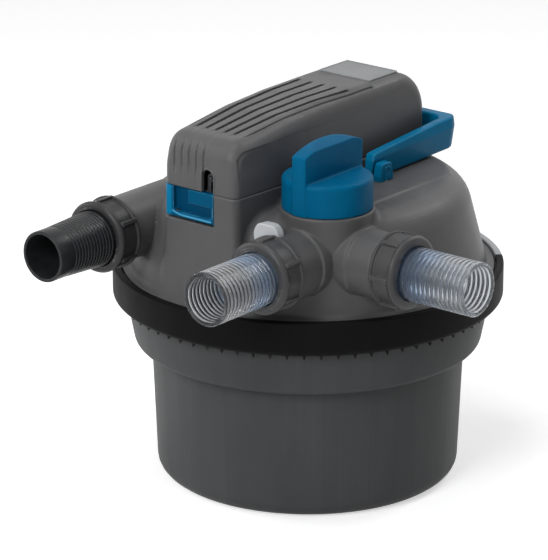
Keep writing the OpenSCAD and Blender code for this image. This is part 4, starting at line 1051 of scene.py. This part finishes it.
def latchField(x, y, z):
    s = latchShape
    block = plate(x, y, s["outside"], head["front"], head["back"], head["noseCorner"])
    body = np.maximum(block, y - s["back"])
    body = roundMeet(body, slab(z, s["low"], s["high"]), 0.6)
    body = roundMeet(body, x - s["right"], 0.6)
    toPin = np.hypot(y - latchPin["y"], z - latchPin["z"])
    knuckle = np.maximum(toPin - s["knuckle"], slab(x, s["knuckleLeft"], s["right"]))
    body = roundUnion(body, np.maximum(knuckle, block), 0.5)
    middle, half = (s["windowLeft"] + s["windowRight"]) / 2, (s["windowRight"] - s["windowLeft"]) / 2
    window = plate(x - middle, z, half, s["windowLow"], s["windowHigh"], s["windowCorner"])
    body = roundCut(body, roundMeet(window, y - s["windowFloor"], 0.3), 0.3)
    tab = roundMeet(slab(x, s["tabLeft"], s["right"]), slab(z, s["tabLow"], s["high"]), 0.6)
    body = roundUnion(body, roundMeet(tab, slab(y, s["tabFront"], s["tabBack"]), 0.4), 0.3)
    body = cut(body, brick(x, y, z, *s["earRoom"], 0.3))
    # foot rounded about the pin, so that it clears its pocket as it tips
    foot = np.hypot(np.minimum(y - latchPin["y"], 0), np.minimum(z - latchPin["z"], 0)) - s["footRadius"]
    body = np.maximum(body, np.where((z < latchPin["z"]) & (y < latchPin["y"]), foot, -1.0))
    # rounded lip along the foot of the window, turning up at its left end
    lipZ = s["lipZ"] + s["curl"] * np.maximum(s["curlStart"] - x, 0) ** 1.7
    lip = np.hypot(y - s["lipY"], z - lipZ) - s["lipSize"]
    lip = roundMeet(lip, slab(x, s["windowLeft"] - 1, s["windowRight"]), 0.4)
    body = roundUnion(body, lip, 0.4)
    return np.maximum(body, latchPin["hole"] - toPin)


fieldPiece("capLatch", latchField, (-35, -123, 216.5), (14, -115, 241), 0.45,
           "latch", "latchBlue", ["cap_latch"], 50)

hookShape = {"left": 4.3, "stemRight": 7.2, "stemTop": 250.5, "footRight": 10.8, "footTop": 236.0,
             "low": 226.0, "curlX": 7.3, "curlZ": 250.4, "curlRadius": 2.2, "curlHalf": 0.9,
             "curlEnd": 247.8, "front": -117.6, "back": -116.0}


def hookField(x, y, z):
    s = hookShape
    stem = roundMeet(slab(x, s["left"], s["stemRight"]), slab(z, s["low"], s["stemTop"]), 0.6)
    curl = np.abs(np.hypot(x - s["curlX"], z - s["curlZ"]) - s["curlRadius"]) - s["curlHalf"]
    curl = roundMeet(curl, s["curlEnd"] - z, 0.5)
    foot = roundMeet(slab(x, s["left"], s["footRight"]), slab(z, s["low"], s["footTop"]), 0.6)
    flat = np.minimum(np.minimum(stem, curl), foot)
    return roundMeet(flat, slab(y, s["front"], s["back"]), 0.4)


fieldPiece("latchHook", hookField, (3, -118.5, 225), (12, -115, 255), 0.3,
           "latch", "hookGrey", ["latch_hook"], 50)

# selector knob
knobShape = {"radius": 32.0, "low": 229.3, "base": 252.3, "top": 278.0, "arch": 84.0, "gripHalf": 6.0,
             "gripPast": 0.6, "slope": 0.27, "inside": 29.0, "ceiling": 249.3, "core": 11.0,
             "stemHole": 5.2, "stemTop": 247.4, "seal": 7.4, "sealTop": 232.4}


def knobField(x, y, z):
    s = knobShape
    u, v = x - valve["x"], y - valve["y"]
    out = np.hypot(u, v)
    body = roundMeet(out - s["radius"], z - s["base"], 3)
    grip = roundMeet(np.abs(u) - s["gripHalf"], np.abs(v) - s["radius"] - s["gripPast"], 1.4)
    crown = np.hypot(v, z - s["top"] + s["arch"]) - s["arch"]
    facet = (z - s["top"] + s["slope"] * (u + s["gripHalf"])) * 0.965  # 0.965 makes it a true distance
    grip = roundMeet(grip, roundMeet(crown, facet, 0.3), 0.9)
    body = roundUnion(body, grip, 1.4)
    body = roundMeet(body, s["low"] - z, 0.5)
    hollow = np.maximum(np.maximum(out - s["inside"], z - s["ceiling"]), s["core"] - out)
    body = cut(body, hollow)
    body = cut(body, np.maximum(out - s["stemHole"], z - s["stemTop"]))
    return cut(body, np.maximum(out - s["seal"], z - s["sealTop"]))


fieldPiece("selectorKnob", knobField, (34, -98, 228), (102, -30, 280), 0.7,
           "selector", "trimBlue", ["selector_knob"], 45)

# cleaning handle
handleShape = {"outerHalf": 49, "outerBack": 122, "outerCorner": 16, "innerHalf": 41, "innerBack": 108,
               "innerCorner": 9, "draft": 0.13, "creaseZ": 240, "creaseSlope": 0.03}
handleSide = outlineField(soften([
    (13, 231, 1), (15, 227, 1.5), (18, 224.8, 2), (112, 226, 5), (122, 231.8, 6), (122, 245.8, 5),
    (117, 250.3, 5), (94, 249.8, 20), (24, 244.8, 6), (15, 243.8, 2), (13, 239.2, 2)], 5), 0.4)


def pivotHole(body, y, z):
    return np.maximum(body, pivot["hole"] - np.hypot(y - pivot["y"], z - pivot["z"]))


def handleField(x, y, z):
    s = handleShape
    crease = s["creaseZ"] + s["creaseSlope"] * (y - pivot["y"])
    outer = plate(x, y, s["outerHalf"], -100, s["outerBack"], s["outerCorner"])
    inner = plate(x, y, s["innerHalf"], -100, s["innerBack"], s["innerCorner"])
    ring = roundMeet(outer + s["draft"] * np.abs(z - crease), -inner, 1.6)
    return pivotHole(roundMeet(ring, handleSide(y, z), 1.6), y, z)


fieldPiece("cleaningHandle", handleField, (-51, 11, 223), (51, 124, 252), 0.9,
           "handle", "handleBlue", ["cleaning_handle"], 28)

rodHeadShape = {"half": 3.5, "ribHalf": 2.6, "ribOut": 4.0, "ribLow": 225.5, "ribHigh": 235.0,
                "rodHole": 3.56, "rodTop": 227.6}
rodHeadSide = outlineField(soften([(12.4, 224.3, 1), (27.6, 224.3, 1), (27.6, 228.6, 2), (25.2, 237.9, 2.5),
                                   (14.8, 237.9, 2.5), (12.4, 228.6, 2)]), 0.3)


def rodHeadField(x, y, z):
    s = rodHeadShape
    u = np.abs(x) - pivot["x"]
    body = roundMeet(rodHeadSide(y, z), np.abs(u) - s["half"], 0.9)
    rib = roundMeet(np.abs(y - pivot["y"]) - s["ribHalf"], slab(u, 3, s["ribOut"]), 0.4)
    body = roundUnion(body, np.maximum(rib, slab(z, s["ribLow"], s["ribHigh"])), 0.4)
    rod = np.maximum(np.hypot(u, y - pivot["y"]) - s["rodHole"], z - s["rodTop"])
    return pivotHole(cut(body, rod), y, z)


rodHeadParts = [meshFromField("rodHead", rodHeadField, low, high, 0.5) for low, high in
                (((48, 11, 223), (58, 29, 239)), ((-58, 11, 223), (-48, 29, 239)))]
placePiece("rodHeads", joinMeshes("rodHeads", rodHeadParts), "squeezer", "handleBlue", ["rod_heads"],
           sharp=50)

# nuts, tails and the small catch
nutShape = {"low": -11.3, "high": 9.1, "body": 24.8, "bodyTop": 6.0, "back": 26.4, "backWide": 2.2,
            "front": 26.2, "frontLow": 3.0, "frontCorner": 3.6, "rib": 27.0, "ribs": 6, "ribTurn": 30.0,
            "ribHalf": 1.5, "ribRoot": 20.0, "bore": 23.6, "boreTop": 5.8}
portPlaces = {"inlet": portMatrix(ports["inletX"], ports["inletEnd"], ports["z"], "front"),
              "outlet": portMatrix(ports["sideEnd"], valve["y"], ports["z"], "side"),
              "drain": portMatrix(valve["x"], ports["drainEnd"], ports["z"], "front")}


def nutField(hole):
    s = nutShape

    def field(x, y, z):
        out, pitch = np.hypot(x, y), 2 * math.pi / s["ribs"]
        angle = np.arctan2(y, x) - math.radians(s["ribTurn"])
        fold = angle - np.round(angle / pitch) * pitch
        body = roundMeet(out - s["body"], slab(z, s["low"], s["bodyTop"]), 0.8)
        back = roundMeet(out - s["back"], slab(z, s["low"], s["low"] + s["backWide"]), 0.8)
        body = roundUnion(body, back, 0.6)
        # the front collar runs into the mouth in one round shoulder
        front = roundMeet(out - s["front"], slab(z, s["frontLow"], s["high"]), s["frontCorner"])
        body = roundUnion(body, front, 0.6)
        rib = roundMeet(np.abs(out * np.sin(fold)) - s["ribHalf"], out - s["rib"], 0.6)
        rib = np.maximum(rib, s["ribRoot"] - out)
        rib = roundMeet(rib, slab(z, s["low"] + 0.6, s["frontLow"] + 1.6), 0.6)
        body = roundUnion(body, rib, 0.7)
        body = cut(body, np.maximum(out - s["bore"], z - s["boreTop"]))
        return roundCut(body, out - hole, 0.4)
    return field


for port, hole, finish in (("inlet", 20.7, "nutBlack"), ("outlet", 19.4, "nutGrey"),
                           ("drain", 19.4, "nutGrey")):
    fieldPiece(port + "Nut", nutField(hole), (-28, -28, -12.5), (28, 28, 10), 0.6,
               port + "_union", finish, [port + "_nut"], 45, portPlaces[port])

tailShape = {"bore": 15.6, "flange": 22.6, "low": 2.0, "flangeTop": 5.5, "firstRing": 9.4, "end": 63.0,
             "rings": 14, "wallWave": 0.7}


def tailPath(rootRadius, tipRadius, groove, land, wavy):
    # wavy tails follow their grip rings inside as well
    s = tailShape
    pitch = (s["end"] - land - s["firstRing"]) / s["rings"]
    path = [(s["bore"], s["low"]), (s["flange"], s["low"], 0.4), (s["flange"], s["flangeTop"], 0.4),
            (rootRadius, s["flangeTop"], 0.5)]
    inside = []
    for i in range(s["rings"]):
        z = s["firstRing"] + i * pitch
        r = rootRadius + (tipRadius - rootRadius) * i / (s["rings"] - 1)
        path += [(r - groove, z, 0.4), (r - groove, z + 0.24 * pitch, 0.4), (r, z + 0.42 * pitch, 0.5),
                 (r, z + 0.82 * pitch, 0.5)]
        inside += [(s["bore"], z, 0.4), (s["bore"] + s["wallWave"], z + 0.6 * pitch, 0.8)]
    path += [(tipRadius, s["end"], 0.7), (s["bore"] + 0.4, s["end"], 0.7)]
    if wavy:
        path += inside[::-1]
    return soften(path, 3)


tails = {  # radius at the nut and at the tip, depth of the gaps, plain length at the tip, wavy inside
    "inlet": ((20.3, 18.4, 0.3, 12.0, False), "tailBlack", "black_fitting"),
    "outlet": ((19.0, 19.0, 0.8, 0.7, False), "clearTailSide", "clear_tail"),
    "drain": ((19.0, 19.0, 1.2, 0.7, True), "clearTailFront", "clear_tail"),
}
for port, (sizes, finish, slotName) in tails.items():
    placePiece(port + "Tail", lathe(port + "Tail", tailPath(*sizes), 144), "tank", finish, [port + "_tail"],
               60, portPlaces[port])

catchShape = {"x": 58.5, "z": 218.3, "radius": 11.2, "top": 227.6, "corner": 1.3, "front": -120.2,
              "back": -112.2, "draft": 0.1, "rim": 1.0, "gap": 0.1}


def catchField(x, y, z):
    s = catchShape
    out = np.hypot(x - s["x"], z - s["z"])
    disc = roundMeet(out - s["radius"] + s["draft"] * (y - s["front"]), z - s["top"], s["corner"])
    disc = roundMeet(disc, slab(y, s["front"], s["back"]), s["rim"])
    tube = np.hypot(x - valve["x"], z - ports["z"]) - ports["radius"] - s["gap"]
    return cut(disc, tube)


fieldPiece("nutCatch", catchField, (46, -121.5, 200), (71, -111, 230), 0.45,
           "tank", "trimGrey", ["nut_lock"], 50)
print("outer pieces made")

# foam rings
foamShape = {"inner": 38.5, "outer": 96.6, "low": 11.0, "high": 32.0, "crown": 1.2, "lump": 0.35,
             "gap": 0.15, "rodHole": 4.7, "squeezed": 68 / 128}


def makeFoam(index, name, node, finish):
    s = foamShape
    base = s["low"] + index * s["high"]

    def field(x, y, z):
        out = np.hypot(x, y)
        lump = s["lump"] * np.sin(0.21 * x + index) * np.sin(0.19 * y + 2 * index) * np.sin(0.33 * z)
        middle = np.abs(z - base - s["high"] / 2) / (s["high"] / 2)
        side = out - s["outer"] + s["crown"] * middle ** 2 + lump
        body = roundMeet(side, slab(z, base + s["gap"], base + s["high"] - s["gap"]), 2.0)
        body = roundCut(body, out - s["inner"], 1.2)
        return roundCut(body, np.hypot(np.abs(x) - pivot["x"], y - pivot["y"]) - s["rodHole"], 0.8)

    piece = fieldPiece(name, field, (-98, -98, base - 1), (98, 98, base + s["high"] + 1), (2.2, 2.2, 1.6),
                       "tank", finish, [node], 60)
    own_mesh(piece)
    return piece


for index, (name, finish, slotName) in enumerate((
        ("coarseFoamLow", "foamBlue", "foam_blue"), ("coarseFoamHigh", "foamBlue", "foam_blue"),
        ("fineFoamLow", "foamRed", "foam_red"), ("fineFoamHigh", "foamRed", "foam_red"))):
    makeFoam(index, name, f"foam_ring_{index + 1}", finish)

# finishes of the inner parts
innerFinishes = {
    "sealRubber": ["lid_seal", "hose_gaskets", "valve_seal", "rod_seals", "sleeve_seal"],
    "innerBlack": ["centre_tube", "top_grid", "uv_tray", "cable_gland", "gland_nut", "pressure_plate"],
    "quartzClear": ["quartz_sleeve"],
    "lampCoat": ["uv_lamp"],
    "ivoryPlastic": ["sleeve_nut", "lamp_socket", "terminal_block", "valve_rotor"],
    "ballastShell": ["ballast"],
    "steel": ["tray_screws", "latch_pin", "lever_pin", "knob_screw", "pull_rods", "rod_nuts"],
    "trimBlue": ["handle_pins"],
}
for finish, names in innerFinishes.items():
    for name in names:
        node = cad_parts[name]
        node.data.materials.clear()
        node.data.materials.append(finishes[finish])
print("inner parts finished")
